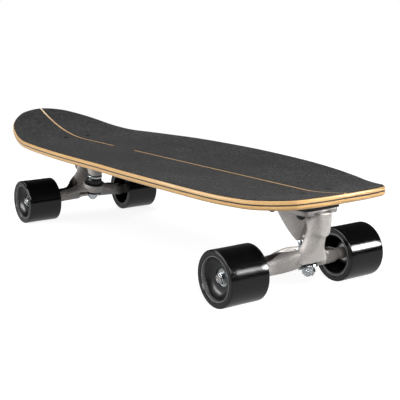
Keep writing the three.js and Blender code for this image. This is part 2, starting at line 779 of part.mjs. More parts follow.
// Wheels: measured from the middle of the tread, the height of a profile points out from the board
function tyre() {
  const half = wheelWidth / 2;
  const corner = 1 / Math.cos(Math.PI / wheelSides);
  const bore = coreRadius + fitGap;
  const side = [
    [bore, half - coreFaceRecess],
    [bore + coreFaceRecess, half],
    [wheelRadius - lipRadius, half],
    [wheelRadius - lipRadius * lipShare, half - lipRadius * lipShare],
    [wheelRadius, half - lipRadius],
    [wheelRadius, half - lipRadius - treadBandWidth],
    [wheelRadius - treadHollow, (half - lipRadius - treadBandWidth) / 2],
  ];
  const otherSide = side.map(([radius, t]) => [radius, -t]).reverse();
  const profile = [...side, ...otherSide, side[0]].map(([radius, t]) => [radius * corner, t]);
  return solid(turnedOnAxle(profile, wheelSides));
}

// The core is a bowl outside, round a deep hub, and open behind it
function core() {
  const seat = bearingOuterRadius + fitGap;
  const stop = seat - bearingStopHeight;
  const half = wheelWidth / 2;
  const rimHalf = half - coreFaceRecess;
  const rimInner = coreRadius - coreRimThickness;
  const ringInner = coreRadius - ringWidth;
  const ringLow = half - ringDepth;
  const hubInner = innerBearingFace - seatGap;
  const hubOuter = outerBearingFace + hubLip;
  const stopOuter = spacerOuterEnd - seatGap;
  const stopInner = spacerInnerEnd + seatGap;
  const bowl = bowlShares.map(([inward, down]) => [
    ringInner + (hubRadius - ringInner) * inward,
    ringLow + (hubOuter - ringLow) * down,
  ]);
  const profile = [
    [seat, hubInner], [hubRadius, hubInner], [hubRadius, hubOuter - bowlWall], [rimInner, ringLow - bowlWall],
    [rimInner, -rimHalf], [coreRadius, -rimHalf], [coreRadius, rimHalf], [ringInner, ringLow], ...bowl,
    [hubRadius, hubOuter], [seat, hubOuter], [seat, stopOuter], [stop, stopOuter],
    [stop, stopInner], [seat, stopInner], [seat, hubInner],
  ];
  return solid(turnedOnAxle(profile, coreSides));
}

function bearing(low) {
  return solid(turnedOnAxle(ringProfile(axleBore, bearingOuterRadius, low, low + bearingWidth), coreSides));
}

function spacer() {
  const profile = ringProfile(axleBore, spacerRadius, spacerInnerEnd + seatGap, spacerOuterEnd - seatGap);
  return solid(turnedOnAxle(profile, smallSides));
}

function axleNut() {
  const place = (geometry) => geometry.rotateX(-Math.PI / 2);
  return hexNut(axleNutWidth, axleBore, axleNutFace, axleNutFace + axleNutHeight, place);
}

// The whole board
const board = new THREE.Group();

const lowerTop = lowerPliesThickness;
const darkLow = lowerTop + glueLine;
const darkTop = darkLow + darkPlyThickness;
const upperLow = darkTop + glueLine;
const upperTop = upperLow + upperPliesThickness;
const gripLow = upperTop + glueLine;
const gripTop = gripLow + gripThickness;
const layers = {
  deck_lower_plies: [
    { lift: 0, inset: undersideRounding },
    { lift: undersideRounding, inset: 0 },
    { lift: lowerTop, inset: 0 },
  ],
  deck_dark_ply: [{ lift: darkLow, inset: 0 }, { lift: darkTop, inset: 0 }],
  deck_upper_plies: [
    { lift: upperLow, inset: 0 },
    { lift: upperTop - edgeRounding, inset: 0 },
    { lift: upperTop, inset: gripInset },
  ],
  grip_tape: [{ lift: gripLow, inset: gripInset }, { lift: gripTop, inset: gripInset }],
};
const layerMaterials = {
  deck_lower_plies: materials.maple,
  deck_dark_ply: materials.darkPly,
  deck_upper_plies: materials.maple,
  grip_tape: materials.grip,
};

// The bare wood line in the grip runs in from both ends and stops short of the middle
function stringerGaps() {
  const half = stringerWidth / 2;
  const high = deckUnderside + gripTop + tailKickHeight + cutOverrun;
  const low = deckUnderside + upperTop;
  const end = deckLength / 2 + cutOverrun;
  return stringerEndShares.map(([share, direction]) => {
    const inner = (share - 0.5) * deckLength;
    const run = direction < 0 ? [-end, inner] : [inner, end];
    return box(run, [-half, half], [low, high]);
  });
}

const deckCuts = boltCuts(front).add(boltCuts(rear));
for (const [name, rings] of Object.entries(layers)) {
  let layer = deckLayer(rings).subtract(deckCuts);
  if (name === 'grip_tape') layer = layer.subtract(joined(stringerGaps()));
  board.add(named(name, layer, layerMaterials[name]));
}

for (const truck of [front, rear]) {
  const group = new THREE.Group();
  group.position.set(truck.axleX, 0, wheelRadius);
  const add = (name, body, material) => group.add(named(`${truck.name}_${name}`, body, material));
  add('riser_pad', riserPad(truck), materials.riser);
  add('base_plate', basePlate(truck), materials.casting);
  add('pivot_cup', pivotCup(truck), materials.cup);
  add('hanger', hanger(truck), materials.casting);
  add('axle', axle(), materials.steel);
  add('kingpin', kingpin(truck), materials.zinc);
  add('bushing_board_side', bushing(truck, 1, truck.boardBushingHeight), materials.bushing);
  add('bushing_road_side', bushing(truck, -1, truck.roadBushingHeight), materials.bushing);
  add('washer_board_side', cupWasher(truck, 1, truck.boardBushingHeight), materials.zinc);
  add('washer_road_side', cupWasher(truck, -1, truck.roadBushingHeight), materials.zinc);
  add('kingpin_nut', kingpinNut(truck), materials.zinc);
  boltPlaces(truck).forEach(([x, y], k) => add(`bolt_${k + 1}`, bolt(x, y), materials.blackSteel));
  for (const [side, direction] of [['left', 1], ['right', -1]]) {
    const wheel = new THREE.Group();
    wheel.position.set(0, direction * wheelCentreY, 0);
    if (direction < 0) wheel.rotation.z = Math.PI;
    const fit = (name, body, material) => wheel.add(named(`${truck.name}_${side}_${name}`, body, material));
    fit('tyre', tyre(), materials.urethane);
    fit('core', core(), materials.core);
    fit('bearing_outer', bearing(spacerOuterEnd), materials.steel);
    fit('bearing_inner', bearing(innerBearingFace), materials.steel);
    fit('spacer', spacer(), materials.steel);
    fit('axle_nut', axleNut(), materials.zinc);
    group.add(wheel);
  }
  board.add(group);
}

export default board;
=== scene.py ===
# %% [markdown]
# # A surf skateboard, dressed in Blender
# The board is a kicked, concave wood deck on two different steering trucks with four large soft wheels. The
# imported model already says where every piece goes, so this lesson only makes the surfaces: each piece is worked
# out with numpy at its real size, put straight into its place, and given the finish of the real thing.

import json
import math
from types import SimpleNamespace

import bmesh
import bpy
import numpy as np
from mathutils import Matrix, Vector


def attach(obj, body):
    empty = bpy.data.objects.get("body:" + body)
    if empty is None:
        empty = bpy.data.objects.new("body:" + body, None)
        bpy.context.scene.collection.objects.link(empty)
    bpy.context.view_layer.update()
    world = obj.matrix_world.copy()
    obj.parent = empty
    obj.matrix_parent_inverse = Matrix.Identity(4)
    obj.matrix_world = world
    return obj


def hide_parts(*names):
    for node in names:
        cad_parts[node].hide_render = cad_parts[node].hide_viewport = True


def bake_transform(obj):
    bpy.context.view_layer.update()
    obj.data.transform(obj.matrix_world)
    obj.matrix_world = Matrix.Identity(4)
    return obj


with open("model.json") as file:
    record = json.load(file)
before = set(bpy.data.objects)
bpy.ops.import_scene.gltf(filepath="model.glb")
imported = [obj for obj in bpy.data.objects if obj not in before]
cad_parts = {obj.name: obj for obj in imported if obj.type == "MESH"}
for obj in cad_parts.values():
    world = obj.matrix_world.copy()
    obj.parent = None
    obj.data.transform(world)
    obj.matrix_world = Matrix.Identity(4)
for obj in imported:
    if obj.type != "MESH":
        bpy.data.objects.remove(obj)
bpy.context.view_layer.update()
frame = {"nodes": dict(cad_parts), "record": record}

# %% [markdown]
# ## The camera
# The photograph was taken from low in front of the nose, with a long lens. The camera's place and turn were
# worked out from the wheels and the deck's outline, so the render can be laid over the photograph.

# %% The camera
MM = 0.001
camera_place = Vector((1.12896, -0.69514, 0.33631))
camera_yaw, camera_pitch, camera_roll = (math.radians(angle) for angle in (34.41, 11.75, -0.624))
sensor_width = 36
focal_pixels = 894.78
photo_width = 400

sight = Vector((-math.cos(camera_pitch) * math.cos(camera_yaw),
                math.cos(camera_pitch) * math.sin(camera_yaw),
                -math.sin(camera_pitch)))
level_right = sight.cross(Vector((0, 0, 1))).normalized()
level_up = level_right.cross(sight)
camera_right = math.cos(camera_roll) * level_right + math.sin(camera_roll) * level_up
camera_up = math.cos(camera_roll) * level_up - math.sin(camera_roll) * level_right
camera = bpy.data.objects.new("camera", bpy.data.cameras.new("camera"))
camera.data.sensor_width = sensor_width
camera.data.lens = sensor_width * focal_pixels / photo_width
turn = Matrix((camera_right, camera_up, -sight)).transposed()
camera.matrix_world = Matrix.Translation(camera_place) @ turn.to_4x4()
bpy.context.scene.collection.objects.link(camera)
bpy.context.scene.camera = camera
bpy.context.scene.view_settings.view_transform = "Standard"
print("lens", round(camera.data.lens, 2))

# %% [markdown]
# ## Sizes
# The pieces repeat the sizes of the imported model, so they land where it has them. The deck is measured from its
# middle and the ground, and its layers are stacked from the underside up with thin glue lines between them.

# %% Sizes of the board
deck_length = 812.8 * MM
deck_width = 256 * MM
wheel_base = 547 * MM
nose_overhang = 89.8 * MM
wheel_radius = 35 * MM
wheel_width = 55 * MM
track_width = 240 * MM
truck_height = 76.4 * MM
riser_thickness = 6 * MM

grip_thickness = 1 * MM
upper_plies = 4.3 * MM
dark_ply = 1.5 * MM
lower_plies = 5.1 * MM
glue_line = 0.1 * MM
grip_inset = 1.6 * MM
edge_rounding = 2.4 * MM
underside_rounding = 3.6 * MM
tail_kick_height = 39.2 * MM
tail_kick_length = 176 * MM
nose_lift_height = 7.2 * MM
nose_lift_length = 68 * MM
concave_depth = 8.3 * MM
stringer_width = 3.5 * MM

fit_gap = 0.3 * MM
seat_gap = 0.3 * MM
cut_overrun = 5 * MM

front_axle_x = deck_length / 2 - nose_overhang
rear_axle_x = front_axle_x - wheel_base
deck_underside = wheel_radius + truck_height + glue_line + riser_thickness + glue_line
wheel_centre_y = track_width / 2 - wheel_width / 2
dark_low = lower_plies + glue_line
dark_top = dark_low + dark_ply
upper_low = dark_top + glue_line
upper_top = upper_low + upper_plies
grip_low = upper_top + glue_line
grip_top = grip_low + grip_thickness
print("axles at", round(front_axle_x, 4), round(rear_axle_x, 4), "underside", round(deck_underside, 4))

# %% [markdown]
# Bolts, bearings and nuts come in standard sizes, the same on every board. Everything about one truck is measured
# from its axle, and what goes round the kingpin is measured along it, from the hanger's seat.

# %% Sizes of the hardware
axle_radius = 3.97 * MM
bearing_radius = 11 * MM
bearing_width = 7 * MM
spacer_length = 10 * MM
bearing_recess = 12 * MM
axle_nut_width = 12.7 * MM
axle_nut_height = 6.3 * MM
kingpin_radius = 4.76 * MM
kingpin_nut_width = 14.3 * MM
kingpin_nut_height = 8 * MM
bolt_radius = 2.4 * MM
bolt_head_radius = 4.8 * MM
bolt_head_depth = 2.8 * MM
bolt_head_sink = 0.3 * MM
bolt_nut_width = 9.5 * MM
bolt_nut_height = 4.6 * MM
bolt_tail = 0.9 * MM
bolt_across = 41.3 * MM
bolt_along = 54 * MM
bushing_radius = 12.4 * MM
washer_radius = 12.2 * MM
washer_thickness = 1.5 * MM

outer_bearing_face = wheel_width / 2 - bearing_recess
spacer_outer_end = outer_bearing_face - bearing_width
spacer_inner_end = spacer_outer_end - spacer_length
inner_bearing_face = spacer_inner_end - bearing_width
hanger_half = wheel_centre_y + inner_bearing_face - seat_gap
axle_nut_face = outer_bearing_face + seat_gap
axle_half = wheel_centre_y + axle_nut_face + axle_nut_height
print("hanger half width", round(hanger_half, 4), "axle half length", round(axle_half, 4))

# %% Sizes of the castings
plate_thickness = 6.5 * MM
plate_width = 54 * MM
plate_corner = 9 * MM
riser_overhang = 2.5 * MM
seat_plate_half = 4 * MM
seat_rim_half = 5.5 * MM
ring_half = 8 * MM
ring_wall = 4.7 * MM
seat_clearance = 0.9 * MM
kingpin_play = 3 * MM
pin_tip_radius = 5.6 * MM
pin_tip_length = 11 * MM
pivot_cup_wall = 2 * MM
lip_gap = 0.8 * MM
collar_radius = 7.6 * MM
collar_length = 15 * MM
arm_end_radius = 9.6 * MM
arm_end_lift = 0.6 * MM
arm_half_height = 10 * MM
arm_half_depth = 12 * MM
arm_wall = 4.5 * MM
arm_pocket_floor = 1.8 * MM
flange_underside = truck_height - plate_thickness


def truck(lengths, steer, kingpin, **other):
    """One truck's sizes: lengths in millimetres, the two tilts in degrees, and what has no unit."""
    sizes = {name: value * MM for name, value in lengths.items()}
    return SimpleNamespace(**sizes, steer=math.radians(steer), kingpin=math.radians(kingpin), **other)


front = truck(dict(
    plate_x=10, plate_length=84, seat_x=22.5, seat_z=11, arm_lift=2,
    body_reach=42, body_lift=10, body_half=10, body_bulge=2,
    shelf_reach=0, shelf_lift=0, shelf_half=0, drum_depth=5, cavity=17,
    neck_length=45, neck_radius=11.6, foot_x=24, foot_z=9, foot_depth=17, foot_width=24,
    boss_radius=14.7, boss_x=46, boss_half=13, collar_height=9.2, collar=5.6,
    block_radius=6.6, block_x=10, block_depth=33, block_width=23,
    board_bushing=7, road_bushing=6.8, kingpin_top=44,
), steer=28, kingpin=-20, name="front", axle_x=front_axle_x, bend=0.42, slope=0.364)
rear = truck(dict(
    plate_x=0, plate_length=92, seat_x=25, seat_z=16, arm_lift=4,
    body_reach=12, body_lift=4.5, body_half=9.5, body_bulge=0,
    shelf_reach=43, shelf_lift=14.5, shelf_half=5, drum_depth=4.5, cavity=22,
    neck_length=53, neck_radius=9, foot_x=0, foot_z=12, foot_depth=9, foot_width=55,
    boss_radius=11.2, boss_x=-26, boss_half=11.5, collar_height=1.1, collar=6.8,
    block_radius=11.6, block_x=31, block_depth=13.5, block_width=13.5,
    board_bushing=16.5, road_bushing=6.6, kingpin_top=46,
), steer=-54, kingpin=16, name="rear", axle_x=rear_axle_x, bend=0.62, slope=0)


def stack(bushing):
    """From the seat to the far face of the washer on a bushing."""
    return seat_plate_half + seat_gap + bushing + seat_gap + washer_thickness


def block_face(one):
    """From the seat to the base plate's block, past the board side washer and the kingpin's collar."""
    return stack(one.board_bushing) + seat_gap + one.collar_height + seat_gap


print("block faces", round(block_face(front), 4), round(block_face(rear), 4))

# %% [markdown]
# ## Making surfaces
# Almost every piece is one of two things: a profile carried round an axis, or rounded sections carried along a
# path. Both end up as a grid of points, so one function turns a grid into faces and another makes the piece.

# %% From grids of points to pieces
merge_distance = 0.002 * MM
crease_angle = math.radians(38)
hole_sides = 32
casting_sides = 72
pieces = {}


def grid_faces(rows, columns, closed_rows=False, closed_columns=True):
    """Quads between neighbours of a grid, with the last row or column joined to the first where it is closed."""
    index = np.arange(rows * columns).reshape(rows, columns)
    if closed_rows:
        index = np.concatenate([index, index[:1]], axis=0)
    if closed_columns:
        index = np.concatenate([index, index[:, :1]], axis=1)
    corners = (index[:-1, :-1], index[1:, :-1], index[1:, 1:], index[:-1, 1:])
    return np.stack(corners, axis=-1).reshape(-1, 4)


def set_attribute(mesh, name, values):
    """One number for each point, for a material to read."""
    layer = mesh.attributes.new(name, "FLOAT", "POINT")
    layer.data.foreach_set("value", values.astype(np.float32))


def new_object(name, shells, lifts=None):
    """One object from (points, faces) shells. Doubles are merged, which closes seams and poles, and the faces
    are turned outwards."""
    flat = [points.reshape(-1, 3) for points, faces in shells]
    starts = np.cumsum([0] + [len(points) for points in flat[:-1]])
    faces = np.concatenate([shell[1] + start for shell, start in zip(shells, starts)])
    mesh = bpy.data.meshes.new(name)
    mesh.from_pydata(np.concatenate(flat).tolist(), [], faces.tolist())
    if lifts is not None:
        set_attribute(mesh, "lift", lifts)
    work = bmesh.new()
    work.from_mesh(mesh)
    bmesh.ops.remove_doubles(work, verts=work.verts, dist=merge_distance)
    bmesh.ops.dissolve_degenerate(work, edges=work.edges, dist=merge_distance)
    bmesh.ops.recalc_face_normals(work, faces=work.faces)
    work.to_mesh(mesh)
    work.free()
    made = bpy.data.objects.new(name, mesh)
    bpy.context.scene.collection.objects.link(made)
    return made


def finish_piece(made, body, slot, nodes):
    """Smooth shading that breaks at creases, then the body the piece rides on, its slot and the nodes it stands
    for. A piece given no body rides on no body."""
    made.data.polygons.foreach_set("use_smooth", np.ones(len(made.data.polygons), dtype=bool))
    made.data.set_sharp_from_angle(angle=crease_angle)
    if body:
        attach(made, body)
    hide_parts(*nodes)
    pieces[made.name] = (made, slot)
    return made


def new_piece(name, shells, body, slot, node, lifts=None):
    """A finished piece that is its shells just as they come."""
    return finish_piece(new_object(name, shells, lifts), body, slot, [node])


# %% [markdown]
# A solid is joined with others or cut by them with Boolean modifiers, which are applied at once, so that what is
# left is a plain mesh.

# %% Joining and cutting
def apply_modifiers(made):
    """Puts the modified mesh in place of the old one."""
    graph = bpy.context.evaluated_depsgraph_get()
    finished = bpy.data.meshes.new_from_object(made.evaluated_get(graph))
    old = made.data
    made.modifiers.clear()
    made.data = finished
    bpy.data.meshes.remove(old)


def cut(made, shells, operation="DIFFERENCE"):
    """Joins or cuts a solid with others, each one shell or a list of shells, and takes the others away."""
    others = [new_object("other", shell if isinstance(shell, list) else [shell]) for shell in shells]
    for other in others:
        change = made.modifiers.new("cut", "BOOLEAN")
        change.operation = operation
        change.solver = "MANIFOLD"
        change.object = other
    apply_modifiers(made)
    for other in others:
        bpy.data.meshes.remove(other.data)


# %% [markdown]
# Real edges are never sharp, so the corners of every profile are rounded before it is carried round its axis. A
# nut is such a profile too, with its radius capped by a hexagon, which leaves the curved chamfers of a real nut.

# %% Profiles carried round an axis
def fillet(corners, radius, steps=6):
    """A closed line with rounded corners: near a corner the line leaves one edge and joins the next on a
    quadratic curve that starts and ends one radius away. A radius of 0 keeps the corner."""
    corner = np.asarray(corners, dtype=float)
    reach = np.broadcast_to(np.asarray(radius, dtype=float), (len(corner),))
    ends = []
    for neighbour in (1, -1):
        edge = np.roll(corner, neighbour, axis=0) - corner
        length = np.maximum(np.linalg.norm(edge, axis=1), 1e-9)
        ends.append(corner + edge * (np.minimum(reach, length * 0.49) / length)[:, None])
    t = np.linspace(0, 1, steps)[None, :, None]
    curve = (1 - t) ** 2 * ends[0][:, None] + 2 * t * (1 - t) * corner[:, None] + t ** 2 * ends[1][:, None]
    return curve.reshape(-1, 2)


def turned(profile, sides, limit=None):
    """A profile of (radius, height) carried round the Z axis. limit(angle) caps the radius, as flats do."""
    profile = np.asarray(profile, dtype=float)
    angle = np.arange(sides) * 2 * np.pi / sides
    radius = np.repeat(profile[:, :1], sides, axis=1)
    if limit is not None:
        radius = np.minimum(radius, limit(angle)[None, :])
    height = np.repeat(profile[:, 1:], sides, axis=1)
    return np.stack([radius * np.cos(angle), radius * np.sin(angle), height], axis=-1)


def turned_shell(profile, sides, place, limit=None, ring=False):
    """The carried profile as a shell, put in its place. A ring's profile joins itself, and any other ends on
    the axis."""
    points = place(turned(profile, sides, limit))
    return points, grid_faces(points.shape[0], sides, closed_rows=ring)


def turned_ring(name, profile, sides, place, body, slot, node, limit=None):
    """A finished piece that is one turned ring."""
    return new_piece(name, [turned_shell(profile, sides, place, limit, ring=True)], body, slot, node)


def rod(radius, low, high):
    """The profile of a plain cylinder."""
    return [(0, low), (radius, low), (radius, high), (0, high)]


def hexagon(width):
    """The radius of a hexagon of this width across flats, at any angle."""
    return lambda angle: width / 2 / np.cos((angle % (np.pi / 3)) - np.pi / 6)


# %% [markdown]
# What isn't turned is lofted: closed loops follow a path, and each loop is a superellipse, a form between an
# ellipse and a rectangle. The sizes along the path ease from one to the next without overshooting.

# %% Sections carried along a path
def lofted_shell(loops):
    """Closed loops joined one to the next. Each end closes on a pole at the middle of its loop."""
    ends = [np.repeat(loops[k].mean(axis=0, keepdims=True), loops.shape[1], axis=0)[None] for k in (0, -1)]
    points = np.concatenate([ends[0], loops, ends[1]])
    return points, grid_faces(points.shape[0], points.shape[1])


def rounded_loops(centre, along_a, along_b, half_a, half_b, squareness, sides=casting_sides):
    """One loop for each section: a superellipse with its two half sizes along two directions. What is the same
    for all sections is given once."""
    count = len(centre)
    half_a, half_b, squareness = (np.broadcast_to(np.asarray(v, dtype=float), count)[:, None]
                                  for v in (half_a, half_b, squareness))
    along_a, along_b = (np.broadcast_to(np.asarray(v, dtype=float), (count, 3))[:, None]
                        for v in (along_a, along_b))
    angle = (np.arange(sides) + 0.5) * 2 * np.pi / sides
    power = 2 / squareness
    a = np.sign(np.cos(angle)) * np.abs(np.cos(angle)) ** power * half_a
    b = np.sign(np.sin(angle)) * np.abs(np.sin(angle)) ** power * half_b
    return centre[:, None] + a[..., None] * along_a + b[..., None] * along_b


def eased(place, table, column=1):
    """A curve through one column of a table, with the knots in its first column. The slopes at the knots are
    the harmonic means of the slopes beside them, so the curve never overshoots."""
    knots, values = table[:, 0], table[:, column]
    step = np.diff(knots)
    slope = np.diff(values) / step
    before, after = slope[:-1], slope[1:]
    inner = np.where(before * after > 0, 2 * before * after / (before + after + 1e-12), 0)
    tangent = np.concatenate([slope[:1], inner, slope[-1:]])
    k = np.clip(np.searchsorted(knots, place) - 1, 0, len(step) - 1)
    t = (np.asarray(place) - knots[k]) / step[k]
    smooth = values[k] + (values[k + 1] - values[k]) * t * t * (3 - 2 * t)
    return smooth + step[k] * t * (1 - t) * (tangent[k] * (1 - t) - tangent[k + 1] * t)


print("helpers ready")

# %% [markdown]
# ## The deck
# The deck is pressed from wood veneers: light ones, one dark one and light ones again, with grip tape on top.
# The outline is a smooth curve through listed shares of the length and the half width, from tail to nose.

# %% The outline
outline_shares = np.array([
    [0, 0], [0.0117, 0.295], [0.024, 0.398], [0.0474, 0.529], [0.0794, 0.644], [0.1225, 0.733],
    [0.1713, 0.81], [0.233, 0.879], [0.3067, 0.933], [0.4182, 0.989], [0.5537, 1], [0.6522, 0.993],
    [0.7498, 0.957], [0.8245, 0.905], [0.8733, 0.848], [0.9265, 0.746], [0.9595, 0.66], [0.981, 0.595],
    [0.9915, 0.538], [0.9955, 0.455], [0.998, 0.28], [0.9995, 0.12], [1, 0],
])
steps_per_span = 14


def outline_curve(shares, steps):
    """A centripetal curve through the outline's points and their mirror images, from the tail to the nose."""
    mirrored = shares[1:-1][::-1] * [1, -1]
    ring = np.concatenate([shares, mirrored])
    place = np.arange(len(shares) - 1)
    p0, p1, p2, p3 = (ring[(place + k) % len(ring)] for k in (-1, 0, 1, 2))
    d0, d1, d2 = (np.linalg.norm(b - a, axis=1)[:, None] ** 0.5 for a, b in ((p0, p1), (p1, p2), (p2, p3)))
    leave = ((p1 - p0) / d0 - (p2 - p0) / (d0 + d1) + (p2 - p1) / d1) * d1
    arrive = ((p2 - p1) / d1 - (p3 - p1) / (d1 + d2) + (p3 - p2) / d2) * d1
    t = (np.arange(steps) / steps)[None, :, None]
    spot = ((2 * t ** 3 - 3 * t ** 2 + 1) * p1[:, None] + (t ** 3 - 2 * t ** 2 + t) * leave[:, None]
            + (3 * t ** 2 - 2 * t ** 3) * p2[:, None] + (t ** 3 - t ** 2) * arrive[:, None])
    line = np.concatenate([spot.reshape(-1, 2), shares[-1:]])
    line[:, 1] = np.maximum(line[:, 1], 0)
    return np.stack([(line[:, 0] - 0.5) * deck_length, line[:, 1] * deck_width / 2], axis=1)


outline = outline_curve(outline_shares, steps_per_span)
print("outline points", len(outline), "widest", round(outline[:, 1].max() * 2, 4))

# %% [markdown]
# A press gives the whole deck one curved shape, so one function gives the rise at any place. Each layer is a stack
# of rings of the same outline, and rings that step inwards on a quarter circle round the edges over.

# %% The pressed shape and its layers
concave_shares = np.array([
    [0, 1], [0.3, 0.92], [0.42, 0.97], [0.556, 1], [0.65, 0.92],
    [0.753, 0.8], [0.828, 0.61], [0.877, 0.44], [0.945, 0.36], [1, 0.4],
])
flat_share = 0.24
kick_power = 2
nose_lift_power = 1.52
concave_power = 1.6
cross_steps = 48
grip_edge = 0.25 * MM


def deck_rise(x, y):
    """How far the pressed deck stands over its flat middle: the kick, the nose lift and the concave sides."""
    tail = np.maximum(0, (-deck_length / 2 + tail_kick_length - x) / tail_kick_length)
    nose = np.maximum(0, (x - deck_length / 2 + nose_lift_length) / nose_lift_length)
    side = np.maximum(0, (np.abs(y) * 2 / deck_width - flat_share) / (1 - flat_share))
    depth = eased(np.clip(x / deck_length + 0.5, 0, 1), concave_shares)
    kick = tail_kick_height * tail ** kick_power + nose_lift_height * nose ** nose_lift_power
    return kick + concave_depth * depth * side ** concave_power


def ring_points(lift, inset, cross):
    """The points of one ring at some shares of its half width: the outline drawn in, lifted to the layer."""
    x = outline[:, 0] * (1 - 2 * inset / deck_length)
    y = cross[None, :] * (outline[:, 1] * (1 - 2 * inset / deck_width))[:, None]
    x = np.repeat(x[:, None], len(cross), axis=1)
    return np.stack([x, y, deck_underside + lift + deck_rise(x, y)], axis=-1)


def deck_layer(rings):
    """A layer's shells: a skin below, a skin above and walls between the rings on both sides."""
    cross = np.sin(np.linspace(-1, 1, cross_steps + 1) * np.pi / 2)
    grids = [(ring_points(*ring, cross), np.array([[ring[0]]])) for ring in (rings[0], rings[-1])]
    lift = np.array([ring[0] for ring in rings])[:, None]
    grids += [(np.stack([ring_points(*ring, np.array([side]))[:, 0] for ring in rings]), lift) for side in (-1, 1)]
    shells = [(points, grid_faces(*points.shape[:2], closed_columns=False)) for points, lift in grids]
    return shells, np.concatenate([np.broadcast_to(lift, points.shape[:2]).ravel() for points, lift in grids])


def quarter_round(radius, inset, steps=7):
    """(rise, inset) steps on a quarter ellipse from full inset at 0 to none at the radius."""
    angle = np.linspace(0, np.pi / 2, steps)
    return [(radius * (1 - math.cos(a)), inset * (1 - math.sin(a))) for a in angle]


lower_edge = quarter_round(underside_rounding, underside_rounding)
upper_edge = [(upper_top - rise, inset) for rise, inset in reversed(quarter_round(edge_rounding, grip_inset))]
layers = {
    "deck_lower_plies": (lower_edge + [(lower_plies, 0)], "deck_wood"),
    "deck_dark_ply": ([(dark_low, 0), (dark_top, 0)], "dark_ply"),
    "deck_upper_plies": ([(upper_low, 0)] + upper_edge, "deck_wood"),
    "grip_tape": ([(grip_low, grip_inset), (grip_top - grip_edge, grip_inset),
                   (grip_top, grip_inset + grip_edge)], "grip_tape"),
}
print("rings in each layer", [len(rings) for rings, slot in layers.values()])

# %% [markdown]
# The factory drills the bolt holes through all layers at once, with a countersink for each head, and the grip is
# slit along the middle to bare a line of wood. Both are cut from the pressed layers in the same way here.

# %% Bolt holes, the slit in the grip, and the finished layers
stringer_end_shares = [(0, 0.34), (0.419, 1)]
bolt_head_top = deck_underside + grip_top - bolt_head_sink
head_gap = 0.06 * MM


def bolt_places(one):
    """Where a truck's four bolts stand, measured from its axle."""
    return [(one.plate_x + along * bolt_along / 2, side * bolt_across / 2)
            for along in (1, -1) for side in (-1, 1)]


def shifted(one, x, y, z=0):
    """Moves points by a place that is measured from a truck's axle."""
    return lambda points: points + np.array([one.axle_x + x, y, z])


def bolt_cutters():
    """What the eight bolts take out of the deck: shank holes with countersinks, as shells of one cutter."""
    low, high = deck_underside - cut_overrun, bolt_head_top + cut_overrun
    shank, head = bolt_radius + fit_gap, bolt_head_radius + head_gap
    profile = [(0, low), (shank, low), (shank, bolt_head_top - bolt_head_depth), (head, bolt_head_top),
               (head, high), (0, high)]
    return [turned_shell(profile, hole_sides, shifted(one, x, y))
            for one in (front, rear) for x, y in bolt_places(one)]


def block(low, high):
    """A plain block between two corners, used only to cut with."""
    faces = np.array([[0, 1, 3, 2], [4, 6, 7, 5], [0, 4, 5, 1], [2, 3, 7, 6], [0, 2, 6, 4], [1, 5, 7, 3]])
    xs, ys, zs = zip(low, high)
    return np.array([[x, y, z] for x in xs for y in ys for z in zs]), faces


for name, (rings, slot) in layers.items():
    layer = new_object(name + "_pressed", *deck_layer(rings))
    cutters = [bolt_cutters()]
    if name == "grip_tape":
        for start, end in stringer_end_shares:
            before, beyond = (cut_overrun if start == 0 else 0), (cut_overrun if end == 1 else 0)
            cutters.append(block(
                ((start - 0.5) * deck_length - before, -stringer_width / 2, deck_underside + upper_top),
                ((end - 0.5) * deck_length + beyond, stringer_width / 2, deck_underside + 2 * tail_kick_height)))
    cut(layer, cutters)
    finish_piece(layer, "deck", slot, [name])
    print(name, len(layer.data.polygons), "faces")

# %% [markdown]
# The bare wood line between the two halves of the grip is a clear strip of wood. On the real deck the tape is
# thin enough for the wood to show from a low angle, so the strip is filled up to just under the tape.

# %% The bare wood line
strip_sink = 0.2 * MM
strip_side_gap = 0.05 * MM
strip_steps = 400


def stringer_strip(start, end):
    """A strip that follows the pressed shape: four lines along it, at both sides and both heights."""
    x = np.linspace(start, end, strip_steps)
    half = stringer_width / 2 - strip_side_gap
    top = grip_top - strip_sink
    lines = [np.stack([x, np.full_like(x, y), deck_underside + lift + deck_rise(x, np.zeros_like(x))], axis=1)
             for y, lift in ((-half, grip_low), (half, grip_low), (half, top), (-half, top))]
    return lofted_shell(np.stack(lines, axis=1))


strip_inset = grip_inset + grip_edge
for name, ends in zip(("stringer_line_tail", "stringer_line_nose"), stringer_end_shares):
    shell = stringer_strip(*((share - 0.5) * (deck_length - 2 * strip_inset) for share in ends))
    strip = new_object(name, [shell], np.full(shell[0].shape[0] * shell[0].shape[1], upper_top))
    finish_piece(strip, "deck", "deck_wood", [])
    print(name, len(strip.data.polygons), "faces")

# %% [markdown]
# ## Turned hardware
# Bushings, washers, nuts, pins and bearings are all turned or rolled parts, so each is a profile carried round
# its axis. Threads are real too: the radius of a rod rises and falls along it, shifted by the angle.

# %% Placing what goes round an axis, threads and lock nuts
nut_sides = 96
rod_sides = 48
thread_steps = 8
fine_pitch, fine_depth = 1.06 * MM, 0.45 * MM


def tilted(one, tilt):
    """Moves points from a truck's own axis to the board: turned by the tilt about Y, then put on the seat."""
    def move(points):
        x = points[..., 0] * math.cos(tilt) + points[..., 2] * math.sin(tilt) + one.seat_x + one.axle_x
        z = points[..., 2] * math.cos(tilt) - points[..., 0] * math.sin(tilt) + one.seat_z + wheel_radius
        return np.stack([x, points[..., 1], z], axis=-1)
    return move


def on_axle(one, y, direction):
    """Moves points from the Z axis to the axle, with +Z turned to point out from the board."""
    def move(points):
        return np.stack([points[..., 0] + one.axle_x, y + direction * points[..., 2],
                         points[..., 1] + wheel_radius], axis=-1)
    return move


